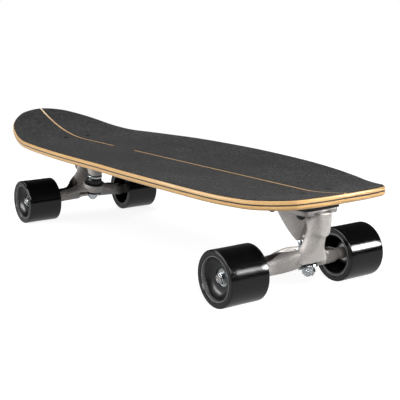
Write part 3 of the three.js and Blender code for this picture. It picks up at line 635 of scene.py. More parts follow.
def thread_shell(radius, low, high, pitch, depth, place, sides=rod_sides):
    """A threaded rod: the radius rises and falls once a pitch, shifted by the angle, as a helix does, and fades
    to the thread's root at both ends."""
    rows = max(thread_steps, int((high - low) / pitch * thread_steps))
    z = np.linspace(low, high, rows)[:, None]
    angle = (np.arange(sides) * 2 * np.pi / sides)[None, :]
    wave = np.abs(((z / pitch - angle / (2 * np.pi)) % 1) * 2 - 1)
    fade = np.clip(np.minimum(z - low, high - z) / pitch, 0, 1)
    r = radius - depth * wave * fade - depth * (1 - fade)
    points = np.stack([r * np.cos(angle), r * np.sin(angle), np.broadcast_to(z, r.shape)], axis=-1)
    ends = [np.repeat([[[0, 0, value]]], sides, axis=1) for value in (low, high)]
    points = place(np.concatenate([ends[0], points, ends[1]]))
    return points, grid_faces(*points.shape[:2])


def lock_nut_profile(width, bore, height):
    """A lock nut's half section: chamfered flats, then the round collar that holds its plastic ring. All but
    the bore and the height are shares of the width."""
    corner = width / 2 / math.cos(math.pi / 6)
    flat_top = height * 0.72
    chamfer = width * 0.07
    return fillet([
        (bore, 0), (corner - chamfer, 0), (corner, chamfer), (corner, flat_top - chamfer),
        (corner - chamfer * 1.3, flat_top), (width * 0.44, flat_top), (width * 0.43, height - width * 0.05),
        (width * 0.38, height), (bore + width * 0.04, height), (bore + width * 0.03, height - width * 0.1),
        (bore, height - width * 0.1),
    ], width * 0.02, 4)


print("thread pitch", fine_pitch)

# %% [markdown]
# The bushings are soft and the rest round the kingpin is hard. When the truck steers, the seat end of a bushing
# turns with the hanger and its washer end stays, so each bushing is left on neither body, and its bore
# opens towards the hanger to leave room for the kingpin. The cupped washers are pressed from sheet.

# %% Bushings and washers
bushing_shares = [0.2, 0.65, 0.82]
bushing_shoulder = 1.6 * MM
bushing_edge = 0.8 * MM
bushing_fillet = 0.9 * MM
bushing_swing_room = 2.1 * MM
washer_lip = 1.5 * MM
washer_wall = 1 * MM
washer_fillets = np.array([0.2, 0.4, 0.3, 0.3, 1.1, 0.2]) * MM
kingpin_bore = kingpin_radius + fit_gap
bushing_low = seat_plate_half + seat_gap


def bushing_profile(height):
    """A bushing's half section from the seat up: a barrel with a shoulder, round a bore that opens downwards."""
    top = bushing_low + height
    swell, waist, step = (bushing_low + height * share for share in bushing_shares)
    shoulder = bushing_radius - bushing_shoulder
    wide_bore = kingpin_bore + bushing_swing_room
    return fillet([(wide_bore, bushing_low), (bushing_radius - bushing_edge, bushing_low), (bushing_radius, swell),
                   (bushing_radius, waist), (shoulder, step), (shoulder, top), (kingpin_bore, top),
                   (wide_bore, ring_half)], bushing_fillet, 8)


def washer_profile(seat):
    """A washer's half section: a flat ring whose lip turns back over the bushing's end."""
    lip, top, inside = seat - washer_lip, seat + washer_thickness, washer_radius - washer_wall
    return fillet([(kingpin_bore, seat), (inside, seat), (inside, lip), (washer_radius, lip),
                   (washer_radius, top), (kingpin_bore, top)], washer_fillets, 6)


for one in (front, rear):
    on_kingpin = tilted(one, one.kingpin)
    for side, word, height in ((1, "board", one.board_bushing), (-1, "road", one.road_bushing)):
        node = f"{one.name}_bushing_{word}_side"
        bushing = turned_ring(node + "_urethane", bushing_profile(height) * [1, side], nut_sides,
                              on_kingpin, None, "bushing_urethane", node)
        held, free = (tuple(on_kingpin(np.array([0, 0, side * h])).tolist())
                      for h in (bushing_low + height, ring_half))
        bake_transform(bushing)
        node = f"{one.name}_washer_{word}_side"
        turned_ring(node + "_cup", washer_profile(bushing_low + height + seat_gap) * [1, side], nut_sides,
                    on_kingpin, "deck", "zinc_steel", node)
print("pieces", len(pieces))

# %% [markdown]
# The kingpin is a bolt that is held in the base plate by its head end, with a collar under the block and a thread
# at the road side, where its lock nut sets how tight the bushings are.

# %% Kingpins and their nuts
kingpin_fillets = np.array([0, 0, 0, 0.5, 0.5, 0, 0.4, 0]) * MM
kingpin_tail_share = 0.25
for one in (front, rear):
    on_kingpin = tilted(one, one.kingpin)
    nut_high = -stack(one.road_bushing) - seat_gap
    profile = lock_nut_profile(kingpin_nut_width, kingpin_bore, kingpin_nut_height) * [1, -1] + [0, nut_high]
    turned_ring(f"{one.name}_kingpin_lock_nut", profile, nut_sides, on_kingpin, "deck", "zinc_steel",
                f"{one.name}_kingpin_nut", hexagon(kingpin_nut_width))
    bottom = nut_high - kingpin_nut_height - kingpin_radius * kingpin_tail_share
    collar_low, collar_high = stack(one.board_bushing) + seat_gap, block_face(one) - seat_gap
    top = -seat_plate_half
    profile = fillet([(0, top), (kingpin_radius, top), (kingpin_radius, collar_low), (one.collar, collar_low),
                      (one.collar, collar_high), (kingpin_radius, collar_high), (kingpin_radius, one.kingpin_top),
                      (0, one.kingpin_top)], kingpin_fillets, 4)
    shells = [thread_shell(kingpin_radius, bottom, top, fine_pitch, fine_depth, on_kingpin),
              turned_shell(profile, rod_sides, on_kingpin)]
    new_piece(f"{one.name}_kingpin_pin", shells, "deck", "zinc_steel", f"{one.name}_kingpin")
print("pieces", len(pieces))

# %% [markdown]
# A deck bolt goes down through grip, plies, riser and base plate, and its lock nut sits in a niche of the casting.
# Bolt and nut are one node of the model, so they are one piece here: head, threaded shank and nut.

# %% Deck bolts with their lock nuts
socket_width = 3.2 * MM
socket_depth = 1.6 * MM
socket_chamfer = 0.3 * MM
bolt_pitch, bolt_thread_depth = 0.8 * MM, 0.3 * MM
bolt_sides, bolt_nut_sides = 36, 72
bolt_fillets = np.array([0, 0, 0.2, 0.25, 0.1, 0.1, 0.1, 0]) * MM
thread_gap = 0.05 * MM
nut_top = wheel_radius + flange_underside - seat_gap
head_profile = fillet([
    (0, nut_top), (bolt_radius, nut_top), (bolt_radius, bolt_head_top - bolt_head_depth),
    (bolt_head_radius, bolt_head_top), (socket_width / 2 + socket_chamfer, bolt_head_top),
    (socket_width / 2, bolt_head_top - socket_chamfer), (socket_width / 2, bolt_head_top - socket_depth),
    (0, bolt_head_top - socket_depth)], bolt_fillets, 4)
nut_profile = lock_nut_profile(bolt_nut_width, bolt_radius + thread_gap, bolt_nut_height) * [1, -1] + [0, nut_top]
for one in (front, rear):
    for number, (x, y) in enumerate(bolt_places(one), 1):
        place = shifted(one, x, y)
        low = nut_top - bolt_nut_height - bolt_tail
        shells = [turned_shell(head_profile, rod_sides, place),
                  thread_shell(bolt_radius, low, nut_top, bolt_pitch, bolt_thread_depth, place, bolt_sides),
                  turned_shell(nut_profile, bolt_nut_sides, place, hexagon(bolt_nut_width), ring=True)]
        node = f"{one.name}_bolt_{number}"
        new_piece(node + "_with_nut", shells, "deck", "black_steel", node)
print("pieces", len(pieces))

# %% [markdown]
# ## Castings
# Hangers and base plates are gravity castings: every corner has a fillet, and bosses melt into webs. Rounded
# solids are joined, the machined seats are cut out, and a voxel remesh followed by a little smoothing turns the
# joints into fillets, much as the sand mould and the polishing wheel do.

# %% Joining, cutting and softening a casting
casting_voxel = 0.8 * MM
soften_steps = 8
upward, forward, across = (0, 0, 1), (1, 0, 0), (0, 1, 0)


def cast(name, solids, cutters):
    """Joins the solids, takes the cutters out and softens what is left into one cast skin."""
    made = new_object(name, [solids[0]])
    cut(made, solids[1:], "UNION")
    cut(made, cutters)
    remesh = made.modifiers.new("skin", "REMESH")
    remesh.mode = "VOXEL"
    remesh.voxel_size = casting_voxel
    smooth = made.modifiers.new("soften", "SMOOTH")
    smooth.factor = 0.5
    smooth.iterations = soften_steps
    apply_modifiers(made)
    print(name, len(made.data.polygons), "faces")
    return made


def along_axis(one, tilt, distance):
    """A point on a truck's tilted axis, this far from the seat, measured from the axle."""
    return np.array([math.sin(tilt) * distance + one.seat_x, 0, math.cos(tilt) * distance + one.seat_z])


def truck_loft(one, *loop_sizes):
    """A loft of rounded sections, measured from the truck's axle and put into its place."""
    return lofted_shell(rounded_loops(*loop_sizes) + np.array([one.axle_x, 0, wheel_radius]))


def bent_body(one, centres, tilts, half_depths, half_widths, squareness):
    """Rounded sections along a bent path in the middle plane, each leaning by its own tilt."""
    along = np.stack([np.cos(tilts), np.zeros_like(tilts), -np.sin(tilts)], axis=1)
    return truck_loft(one, centres, along, across, half_depths, half_widths, squareness)


def pin_shell(one, tilt, corners):
    """A solid turned round one of a truck's tilted axes."""
    return turned_shell(corners, casting_sides, tilted(one, tilt))


# %% [markdown]
# The hanger carries the axle. Its two arms swell from round ends to a deep middle. The front one has open pockets
# with a higher wall behind them, and the rear one has a flat shelf that reaches out to the ring.

# %% The hanger's arms
arm_shares = [(0.54, 0, 0), (0.27, 0.65, 1), (0, 1, 0)]
arm_squareness = 4
arm_end_squareness = 2.6
collar_blend_share = 0.35
shelf_shares = np.array([[0, 1, 1], [0.27, 0.6, 0.85], [0.54, 0, 0.3]])
shelf_squareness = 3
arm_floor = 4 * MM
web_half = 2.3 * MM
web_rise = 8 * MM
web_sink = 2 * MM
web_shares = np.array([[0, 1.0], [0.1, 0.97], [0.25, 0.66], [0.36, 0.28], [0.46, 0.0], [0.7, 0.0]])
section_steps = 160


def hanger_arms(one):
    """Sections from one end of the hanger to the other, eased between the named ones."""
    inner = hanger_half - collar_length
    rows = [(hanger_half, 0, 0, collar_radius, collar_radius, 0, 2),
            (inner, 0, 0, collar_radius, collar_radius, 0, 2),
            (inner - collar_length * collar_blend_share, 0, arm_end_lift, arm_end_radius, arm_end_radius, 0,
             arm_end_squareness)]
    for place, body, bulge in arm_shares:
        reach = arm_half_depth + (one.body_reach - arm_half_depth) * body
        height = arm_half_height + (one.body_half - arm_half_height) * body + one.body_bulge * bulge
        lift = one.arm_lift + (one.body_lift - one.arm_lift) * body
        rows.append((hanger_half * place, (reach - arm_half_depth) / 2, lift, (reach + arm_half_depth) / 2, height,
                     one.slope * body, arm_squareness))
    table = np.array(rows)[::-1]
    y = np.linspace(-hanger_half, hanger_half, section_steps)
    x, z, half_x, half_z, slope, squareness = (eased(np.abs(y), table, k) for k in range(1, 7))
    along = np.stack([np.ones_like(y), np.zeros_like(y), slope], axis=1)
    return truck_loft(one, np.stack([x, y, z], axis=1), along, upward, half_x, half_z, squareness)


def hanger_shelf(one):
    """A flat shelf from the arms out to the ring, over the open front of the room for the kingpin's nut."""
    limit = hanger_half * shelf_shares[-1, 0]
    y = np.linspace(-limit, limit, section_steps)
    growth, rise = (eased(np.abs(y) / hanger_half, shelf_shares, k) for k in (1, 2))
    reach = arm_half_depth + (one.shelf_reach - arm_half_depth) * growth
    lift = one.arm_lift + (one.shelf_lift - one.arm_lift) * rise
    centre = np.stack([(reach - arm_half_depth) / 2, y, lift], axis=1)
    return truck_loft(one, centre, forward, upward, (reach + arm_half_depth) / 2, one.shelf_half, shelf_squareness)


def hanger_web(one):
    """The wall behind both arms' pockets, highest behind the neck and down to the arms' height at its ends."""
    share = np.linspace(-web_shares[-1, 0], web_shares[-1, 0], section_steps)
    rise = web_rise * eased(np.abs(share), web_shares)
    high = one.arm_lift + arm_half_height - web_sink + rise
    middle = (arm_floor + high) / 2
    centre = np.stack([np.full_like(share, web_half - arm_half_depth), share * hanger_half, middle], axis=1)
    return truck_loft(one, centre, forward, upward, web_half, high - middle, shelf_squareness)


# %% [markdown]
# From the arms a neck bends up to the pivot pin, and a ring in the middle holds both bushings. The machined parts
# are cut out afterwards: two wells for the bushings, the kingpin's hole, the pockets and the axle's bore.

# %% The hanger's neck, its solids and its cuts
neck_shares = np.array([[0, 1], [0.2, 0.66], [0.42, 0.38], [0.62, 0.17], [0.82, 0.04], [1, 0]])
neck_turn_power = 1.3
pin_tip_shares = [(1, 0.9), (0.8, 0.3), (0.45, 0)]
ring_fillets = np.array([0, 2, 1.4, 0]) * MM
pocket_shares = (0.27, 0.72)
rim_flare = 1.4
well_flare = 0.35
neck_steps = 60


def hanger_neck(one):
    """The neck's sections on a quadratic curve from its foot, past the seat's axis, to the lip at the boss."""
    foot = np.array([one.foot_x, 0, one.foot_z])
    bend = along_axis(one, one.steer, one.neck_length * one.bend)
    lip = along_axis(one, one.steer, one.neck_length - lip_gap)
    t = np.linspace(0, 1, neck_steps)
    path = ((1 - t) ** 2)[:, None] * foot + (2 * t * (1 - t))[:, None] * bend + (t ** 2)[:, None] * lip
    flare = eased(t, neck_shares)
    depth = one.foot_depth + (one.neck_radius - one.foot_depth) * t
    width = one.neck_radius + (one.foot_width - one.neck_radius) * flare
    return bent_body(one, path, one.steer * t ** neck_turn_power, depth, width, 2 + flare)


def hanger_solids(one):
    """The arms, the ring round the bushings, the neck, the pin, and the shelf or the web."""
    root, tip = one.neck_length - lip_gap - one.neck_radius / 2, one.neck_length + pin_tip_length
    pin = [(0, root), (pin_tip_radius, root)]
    pin += [(pin_tip_radius * r, tip - pin_tip_radius * back) for r, back in pin_tip_shares] + [(0, tip)]
    ring = bushing_radius + seat_clearance + ring_wall
    drum = fillet(rod(ring, -one.drum_depth, ring_half), ring_fillets)
    return [hanger_arms(one), pin_shell(one, one.kingpin, drum), hanger_neck(one),
            pin_shell(one, one.steer, pin), hanger_shelf(one) if one.shelf_reach else hanger_web(one)]


def hanger_cutters(one):
    """The two bushing wells, the kingpin's hole, the pockets in the arms and the axle's bore."""
    seat = bushing_radius + seat_clearance
    far = block_face(one) * 2
    mouth = seat + (ring_half - seat_rim_half) * rim_flare
    well = [(0, seat_plate_half), (seat, seat_plate_half), (seat, seat_rim_half), (mouth, ring_half)]
    upper = well + [(mouth + (far - ring_half) * well_flare, far), (0, far)]
    lower = [(r, -h) for r, h in well + [(one.cavity, ring_half), (one.cavity, far), (0, far)]]
    hole = rod(kingpin_radius + kingpin_play, -far, far)
    cutters = [pin_shell(one, one.kingpin, corners) for corners in (upper, lower, hole)]
    inner, outer = (share * hanger_half for share in pocket_shares)
    for side in (1, -1):
        centre = np.array([[0, (inner + outer) / 2 * side, z]
                           for z in (axle_radius + fit_gap + arm_pocket_floor, one.neck_length)])
        cutters.append(truck_loft(one, centre, forward, across, arm_half_depth - arm_wall, (outer - inner) / 2,
                                  arm_squareness))
    reach = hanger_half + cut_overrun
    return cutters + [turned_shell(rod(axle_radius + fit_gap, -reach, reach), rod_sides, on_axle(one, 0, 1))]


# %% [markdown]
# Inside the arms' pockets the casting gets painted shade: a darker colour stands in for the shade that falls
# there. The points there are marked with an attribute that the casting's finish reads.

# %% Hangers
# How far the painted shade in the pockets reaches past their walls and ends, and over what distance it fades in.
pocket_shade_past_wall = 0.9 * MM
pocket_shade_past_end = 1 * MM
pocket_shade_fade = 1 * MM


def mark_pocket_shade(hanger, one):
    """Marks where painted shade goes inside the arms' pockets: 1 well inside the pocket's box, easing to 0 at its
    walls.
    """
    points = np.empty(len(hanger.data.vertices) * 3)
    hanger.data.vertices.foreach_get("co", points)
    points = points.reshape(-1, 3) - [one.axle_x, 0, wheel_radius]
    inner, outer = (share * hanger_half for share in pocket_shares)
    depth = arm_half_depth - arm_wall + pocket_shade_past_wall - np.abs(points[:, 0])
    ends = (outer - inner) / 2 + pocket_shade_past_end - np.abs(np.abs(points[:, 1]) - (inner + outer) / 2)
    above = points[:, 2] - arm_floor
    set_attribute(hanger.data, "pocket_shade", np.clip(np.minimum(np.minimum(depth, ends), above) / pocket_shade_fade, 0, 1))


for one in (front, rear):
    hanger = cast(f"{one.name}_hanger_casting", hanger_solids(one), hanger_cutters(one))
    mark_pocket_shade(hanger, one)
    finish_piece(hanger, f"{one.name}_truck", "truck_casting", [f"{one.name}_hanger"])

# %% [markdown]
# The base plate's flange and the riser under the deck are the same kind of plate, with round corners and with
# both edges rounded over, so one function makes them both.

# %% Flat plates
def rounded_rectangle(length, width, corner, steps=10):
    """A loop round a rectangle with round corners, as four quarter circles joined by straight sides."""
    angle = np.linspace(0, np.pi / 2, steps)
    quarters = []
    for k, (sx, sy) in enumerate(((1, 1), (-1, 1), (-1, -1), (1, -1))):
        centre = np.array([sx * (length / 2 - corner), sy * (width / 2 - corner)])
        around = angle + k * np.pi / 2
        quarters.append(centre + corner * np.stack([np.cos(around), np.sin(around)], axis=1))
    return np.concatenate(quarters)


def plate_shell(one, overhang, low, high, edge):
    """A flat plate with its upper and lower edges rounded, as loops that step in at both faces."""
    length, width = one.plate_length + 2 * overhang, plate_width + 2 * overhang
    insets = [(edge * (1 - math.sin(a)), edge * (1 - math.cos(a))) for a in np.linspace(0, np.pi / 2, 6)]
    steps = [(low + rise, inset) for rise, inset in insets[::-1]]
    steps += [(high - rise, inset) for rise, inset in insets]
    loops = []
    for z, inset in steps:
        loop = rounded_rectangle(length - 2 * inset, width - 2 * inset, plate_corner + overhang - inset * 0.5)
        loops.append(np.concatenate([loop, np.full((len(loop), 1), z)], axis=1))
    return lofted_shell(np.stack(loops) + np.array([one.axle_x + one.plate_x, 0, wheel_radius]))


# %% [markdown]
# The base plate is a flat flange under the riser. A block grows out of it to hold the kingpin, and a boss leans
# out of it to hold the pivot cup. The bolt nuts sit in round niches.

# %% Base plates
block_shares = np.array([[0, 0], [0.12, 0.16], [0.45, 0.52], [1, 1]])
plate_edge = 1.2 * MM
pivot_cup_end = 2 * MM
nut_niche_gap = 0.9 * MM
nut_niche_room = 3 * MM
niche_sides = 40
block_steps = 40
cup_inner = pin_tip_radius + fit_gap
cup_outer = cup_inner + pivot_cup_wall


def base_plate_solids(one):
    """The flange, the block that holds the kingpin and the boss that holds the pivot cup."""
    rise = flange_underside + plate_thickness / 2
    flange = plate_shell(one, 0, flange_underside, truck_height, plate_edge)
    t = np.linspace(0, 1, block_steps)
    face = along_axis(one, one.kingpin, block_face(one))
    growth = eased(t, block_shares)
    path = face + t[:, None] * (np.array([one.block_x, 0, rise]) - face)
    depth, width = (one.block_radius + (size - one.block_radius) * growth
                    for size in (one.block_depth, one.block_width))
    block_body = bent_body(one, path, one.kingpin * (1 - t), depth, width, 2 + growth)
    lip = along_axis(one, one.steer, one.neck_length)
    path = lip + t[:, None] * (np.array([one.boss_x, 0, rise]) - lip)
    half = one.boss_radius + (one.boss_half - one.boss_radius) * t
    return [flange, block_body, bent_body(one, path, one.steer * (1 - t), half, half, 2 + t)]


def base_plate_cutters(one):
    """The pivot cup's bore, room for the neck, the kingpin's bore, bolt holes and room for their nuts."""
    cup_end = one.neck_length + pin_tip_length + fit_gap + pivot_cup_end + fit_gap
    neck_room = rod(one.boss_radius + lip_gap, one.neck_length / 2, one.neck_length)
    cutters = [pin_shell(one, one.steer, rod(cup_outer + fit_gap, 0, cup_end)),
               pin_shell(one, one.steer, neck_room),
               pin_shell(one, one.kingpin, rod(kingpin_bore, 0, one.kingpin_top + fit_gap))]
    niche = bolt_nut_width / 2 / math.cos(math.pi / 6) + nut_niche_gap
    hole = bolt_radius + fit_gap
    low, high = flange_underside - bolt_nut_height - bolt_tail - nut_niche_room, truck_height + cut_overrun
    corners = [(0, low), (niche, low), (niche, flange_underside), (hole, flange_underside), (hole, high),
               (0, high)]
    return cutters + [turned_shell(corners, niche_sides, shifted(one, x, y, wheel_radius))
                      for x, y in bolt_places(one)]


for one in (front, rear):
    plate = cast(f"{one.name}_base_plate_casting", base_plate_solids(one), base_plate_cutters(one))
    finish_piece(plate, "deck", "truck_casting", [f"{one.name}_base_plate"])

# %% [markdown]
# A rubber riser keeps the wheels off the deck, and a plastic cup lines the boss for the pivot pin. The riser is a
# rounded plate with four holes, and the cup is turned round the steering axis.

# %% Riser pads and pivot cups
riser_edge = 0.7 * MM
cup_fillets = np.array([0, 0.5, 0.4, 0.5, 1, 0]) * MM
riser_low = truck_height + glue_line
hole_profile = rod(bolt_radius + fit_gap, 0, deck_underside)
for one in (front, rear):
    riser = new_object(f"{one.name}_riser_rubber",
                       [plate_shell(one, riser_overhang, riser_low, riser_low + riser_thickness, riser_edge)])
    cut(riser, [turned_shell(hole_profile, hole_sides, shifted(one, x, y, cut_overrun))
                for x, y in bolt_places(one)])
    finish_piece(riser, "deck", "riser_rubber", [f"{one.name}_riser_pad"])
    mouth = one.neck_length + fit_gap
    floor = mouth + pin_tip_length
    corners = [(0, floor), (cup_inner, floor), (cup_inner, mouth), (cup_outer, mouth),
               (cup_outer, floor + pivot_cup_end), (0, floor + pivot_cup_end)]
    new_piece(f"{one.name}_pivot_cup_liner", [pin_shell(one, one.steer, fillet(corners, cup_fillets))], "deck",
              "pivot_cup_plastic", f"{one.name}_pivot_cup")
print("pieces", len(pieces))

# %% [markdown]
# ## Wheels
# Each wheel is a thick urethane tyre cast round a hard plastic core. The tyre is a turned shape with a wide, nearly
# flat tread and rounded lips.

# %% Tyres
wheel_sides = 216
tread_hollow = 0.1 * MM
lip_radius = 1.8 * MM
tread_band = 8.5 * MM
core_radius = 27.5 * MM
core_recess = 0.6 * MM
tread_steps, lip_steps, face_steps = 24, 12, 6


def tyre_profile():
    """The tyre's half section: a nearly flat tread with a shallow hollow, rounded lips and plain side faces."""
    half = wheel_width / 2
    bore = core_radius + fit_gap
    height = np.linspace(half - lip_radius - tread_band, -half + lip_radius + tread_band, tread_steps)
    hollow = tread_hollow * (1 - (height / height[0]) ** 2)
    lip = np.linspace(0, np.pi / 2, lip_steps)
    upper = [(bore, half - core_recess), (bore + core_recess * 0.5, half - core_recess * 0.15),
             (bore + core_recess, half)]
    upper += [(r, half) for r in np.linspace(bore + core_recess, wheel_radius - lip_radius, face_steps)[1:-1]]
    upper += [(wheel_radius - lip_radius * (1 - math.sin(a)), half - lip_radius * (1 - math.cos(a))) for a in lip]
    return np.array(upper + list(zip(wheel_radius - hollow, height)) + [(r, -h) for r, h in reversed(upper)])


# %% [markdown]
# The core's outside is a glossy bowl behind a narrow ribbed ring, its middle holds the outer bearing deep in the
# wheel, and its inside is open. The ribs are a wave in the radius that fades out at the ring's edges.

# %% Cores
rib_count = 80
rib_height = 0.55 * MM
rib_fade = 1.2 * MM
rib_steps = 6
core_rim = 3 * MM
rim_edge = 0.5 * MM
ring_width = 2.2 * MM
ring_depth = 5 * MM
ring_margins = (0.3 * MM, 0.1 * MM)
bowl_wall = 7 * MM
hub_wall = 2.6 * MM
hub_lip = 1.4 * MM
stop_height = 1.4 * MM
bowl_shares = [(0.3, 0.5), (0.62, 0.86)]
core_fillets = np.array([0.4, 0.8, 3, 3, 0.8, 0.3, 0.3, 0.3, 1.2, 3, 3, 1, 0.5, 0.2, 0.2, 0.2, 0.2]) * MM
ring_low = wheel_width / 2 - ring_depth


def core_profile():
    """The core's half section, from the hub's inner end out round the rim, over the bowl and back to the hub."""
    seat = bearing_radius + fit_gap
    hub, stop = seat + hub_wall, seat - stop_height
    half = wheel_width / 2 - core_recess
    rim_inner, ring_inner = core_radius - core_rim, core_radius - ring_width
    hub_inner, hub_outer = inner_bearing_face - seat_gap, outer_bearing_face + hub_lip
    stop_outer, stop_inner = spacer_outer_end - seat_gap, spacer_inner_end + seat_gap
    bowl = [(ring_inner + (hub - ring_inner) * a, ring_low + (hub_outer - ring_low) * b)
            for a, b in bowl_shares]
    corners = [(seat, hub_inner), (hub, hub_inner), (hub, hub_outer - bowl_wall), (rim_inner, ring_low - bowl_wall),
               (rim_inner, -half), (core_radius, -half), (core_radius, half), (core_radius - rim_edge, half),
               (ring_inner, ring_low), *bowl, (hub, hub_outer), (seat, hub_outer), (seat, stop_outer),
               (stop, stop_outer), (stop, stop_inner), (seat, stop_inner)]
    return fillet(corners, core_fillets, 7)


def ribbed_core_points(profile):
    """The turned core with ribs on its outer ring: a wave round the ring, faded by the height on it."""
    sides = rib_count * rib_steps
    points = turned(profile, sides)
    angle = np.arange(sides) * 2 * np.pi / sides
    radius, height = profile[:, 0], profile[:, 1]
    on_ring = (radius < core_radius - ring_margins[0]) & (radius > core_radius - ring_width - ring_margins[1])
    fade = np.where(on_ring, np.clip((height - ring_low) / rib_fade, 0, 1) * (height > ring_low), 0)
    wave = rib_height * np.maximum(0, np.cos(angle * rib_count)) ** 2
    points[..., :2] *= (1 - fade[:, None] * wave[None, :] / np.maximum(radius, MM)[:, None])[..., None]
    return points


print("core profile", len(core_profile()), "points")

# %% [markdown]
# Two shielded ball bearings run on the axle in each wheel, and a lock nut keeps the wheel on. The wheel's pieces
# are made round the Z axis and turned onto the axle.

# %% Bearings, wheels and axles
race_outer_wall = 1.7 * MM
race_inner_wall = 1.9 * MM
shield_sink = 0.45 * MM
bearing_fillets = np.array([0.3, 0.12, 0.15, 0.15, 0.12, 0.45]) * MM
axle_thread_depth = 0.4 * MM
axle_end_gap = 1.2 * MM


def bearing_profile():
    """A bearing's half section: chamfered races with a sunk shield between them on both faces."""
    bore, top = axle_radius + fit_gap, bearing_width
    outer, inner = bearing_radius - race_outer_wall, axle_radius + fit_gap + race_inner_wall
    face = [(bore, top), (inner, top), (inner, top - shield_sink), (outer, top - shield_sink), (outer, top),
            (bearing_radius, top)]
    corners = face + [(r, bearing_width - h) for r, h in reversed(face)]
    return fillet(corners, np.concatenate([bearing_fillets, bearing_fillets[::-1]]), 4)


axle_nut_profile = lock_nut_profile(axle_nut_width, axle_radius + thread_gap, axle_nut_height) + [0, axle_nut_face]
for one in (front, rear):
    for side, direction in (("left", 1), ("right", -1)):
        wheel = f"{one.name}_{side}"
        body = f"{wheel}_wheel"
        outward = on_axle(one, direction * wheel_centre_y, direction)
        turned_ring(f"{wheel}_tyre_urethane", tyre_profile(), wheel_sides, outward, body, "wheel_urethane",
                    f"{wheel}_tyre")
        points = ribbed_core_points(core_profile())
        shell = (outward(points), grid_faces(*points.shape[:2], closed_rows=True))
        new_piece(f"{wheel}_core_bowl", [shell], body, "wheel_core", f"{wheel}_core",
                  np.repeat(core_profile()[:, 0], points.shape[1]))
        for word, low in (("outer", spacer_outer_end), ("inner", inner_bearing_face)):
            turned_ring(f"{wheel}_bearing_{word}_shielded", bearing_profile() + [0, low], nut_sides, outward, body,
                        "bearing_steel", f"{wheel}_bearing_{word}")
        turned_ring(f"{wheel}_axle_lock_nut", axle_nut_profile, nut_sides, outward, f"{one.name}_truck",
                    "zinc_steel", f"{wheel}_axle_nut", hexagon(axle_nut_width))
    shells = [turned_shell(rod(axle_radius, -hanger_half, hanger_half), rod_sides, on_axle(one, 0, 1))]
    shells += [thread_shell(axle_radius, hanger_half, axle_half - axle_end_gap, fine_pitch, axle_thread_depth,
                            on_axle(one, 0, direction)) for direction in (1, -1)]
    new_piece(f"{one.name}_axle_rod", shells, f"{one.name}_truck", "axle_steel", f"{one.name}_axle")
print("pieces", len(pieces))

# %% [markdown]
# ## Finishes
# Every finish reads Object coordinates in metres, so its grain has a real size and stays put on the piece. A
# shader is a small network of nodes, and these helpers add one node each and join it to the others.

# %% Shader nodes
def feed(node, *numbered, **named):
    """Fills a node's inputs, first by number, then by name with _ for a space. A socket is linked to its input,
    and anything else is set as the input's value."""
    pairs = list(enumerate(numbered)) + [(name.replace("_", " "), value) for name, value in named.items()]
    for key, value in pairs:
        if isinstance(value, bpy.types.NodeSocket):
            node.id_data.links.new(value, node.inputs[key])
        else:
            node.inputs[key].default_value = value


def add_node(tree, kind, *numbered, settings=None, **named):
    """A shader node with its settings, then its inputs."""
    node = tree.nodes.new("ShaderNode" + kind)
    for name, value in (settings or {}).items():
        setattr(node, name, value)
    feed(node, *numbered, **named)
    return node


def calculated(tree, operation, *values, clamp=False):
    """What a product, a sum or another operation on numbers gives."""
    return add_node(tree, "Math", *values, settings=dict(operation=operation, use_clamp=clamp)).outputs[0]


def mapped(tree, value, start, end, low=0.0, high=1.0):
    """A value carried from one range to another, and kept inside it."""
    return add_node(tree, "MapRange", Value=value, From_Min=start, From_Max=end, To_Min=low,
                    To_Max=high).outputs["Result"]


def mixed(tree, factor, low, high, kind="FLOAT"):
    """The low end at a factor of 0 and the high end at 1."""
    return add_node(tree, "Mix", settings=dict(data_type=kind), Factor=factor, A=low, B=high).outputs["Result"]


def mixed_colour(tree, factor, low, high):
    """The same with colours, each a socket or three numbers."""
    ends = [end if isinstance(end, bpy.types.NodeSocket) else (*end, 1) for end in (low, high)]
    return mixed(tree, factor, *ends, kind="RGBA")


def own_place(tree):
    """Where a point is on its own object, in metres."""
    return add_node(tree, "TexCoord").outputs["Object"]


def noise(tree, place, scale, detail, **other):
    """Soft random values between 0 and 1."""
    return add_node(tree, "TexNoise", Vector=place, Scale=scale, Detail=detail, **other).outputs["Fac"]


def bumped(tree, strength, distance, height):
    """The normal of a surface that has this height on it."""
    return add_node(tree, "Bump", Strength=strength, Distance=distance, Height=height).outputs["Normal"]


# %% [markdown]
# Two shared groups give most surfaces their life: one makes a fine bump, and one makes soft patches with a few
# sharper rubs, which change the colour and the roughness a little from place to place.

# %% Shared shader groups
rub_fineness = 7.0
rub_range = (0.52, 0.68)


def group_tree(name, inputs, outputs):
    """A shader node group with float inputs and typed outputs."""
    tree = bpy.data.node_groups.new(name, "ShaderNodeTree")
    for label, value in inputs.items():
        socket = tree.interface.new_socket(name=label, in_out="INPUT", socket_type="NodeSocketFloat")
        socket.default_value = value
    for label, kind in outputs.items():
        tree.interface.new_socket(name=label, in_out="OUTPUT", socket_type=kind)
    return tree, tree.nodes.new("NodeGroupInput").outputs, tree.nodes.new("NodeGroupOutput")


def fine_bump_group():
    """Fine grain at a real size: noise on Object coordinates, as a normal and as a mask."""
    tree, given, sink = group_tree("fine_bump", {"Scale": 900, "Distance": 0.0001, "Strength": 0.3},
                                   {"Normal": "NodeSocketVector", "Mask": "NodeSocketFloat"})
    grain = noise(tree, own_place(tree), given["Scale"], detail=4.0, Roughness=0.6)
    feed(sink, Normal=bumped(tree, given["Strength"], given["Distance"], grain), Mask=grain)
    return tree


def patches_group():
    """Two noises of different size, joined into one mask."""
    tree, given, sink = group_tree("patches", {"Scale": 18, "Rubs": 0.3}, {"Mask": "NodeSocketFloat"})
    place = own_place(tree)
    finer = calculated(tree, "MULTIPLY", given["Scale"], rub_fineness)
    broad = noise(tree, place, given["Scale"], detail=3.0)
    rub = noise(tree, place, finer, detail=6.0, Roughness=0.7)
    weight = calculated(tree, "MULTIPLY", mapped(tree, rub, *rub_range), given["Rubs"])
    feed(sink, Mask=calculated(tree, "ADD", broad, weight, clamp=True))
    return tree


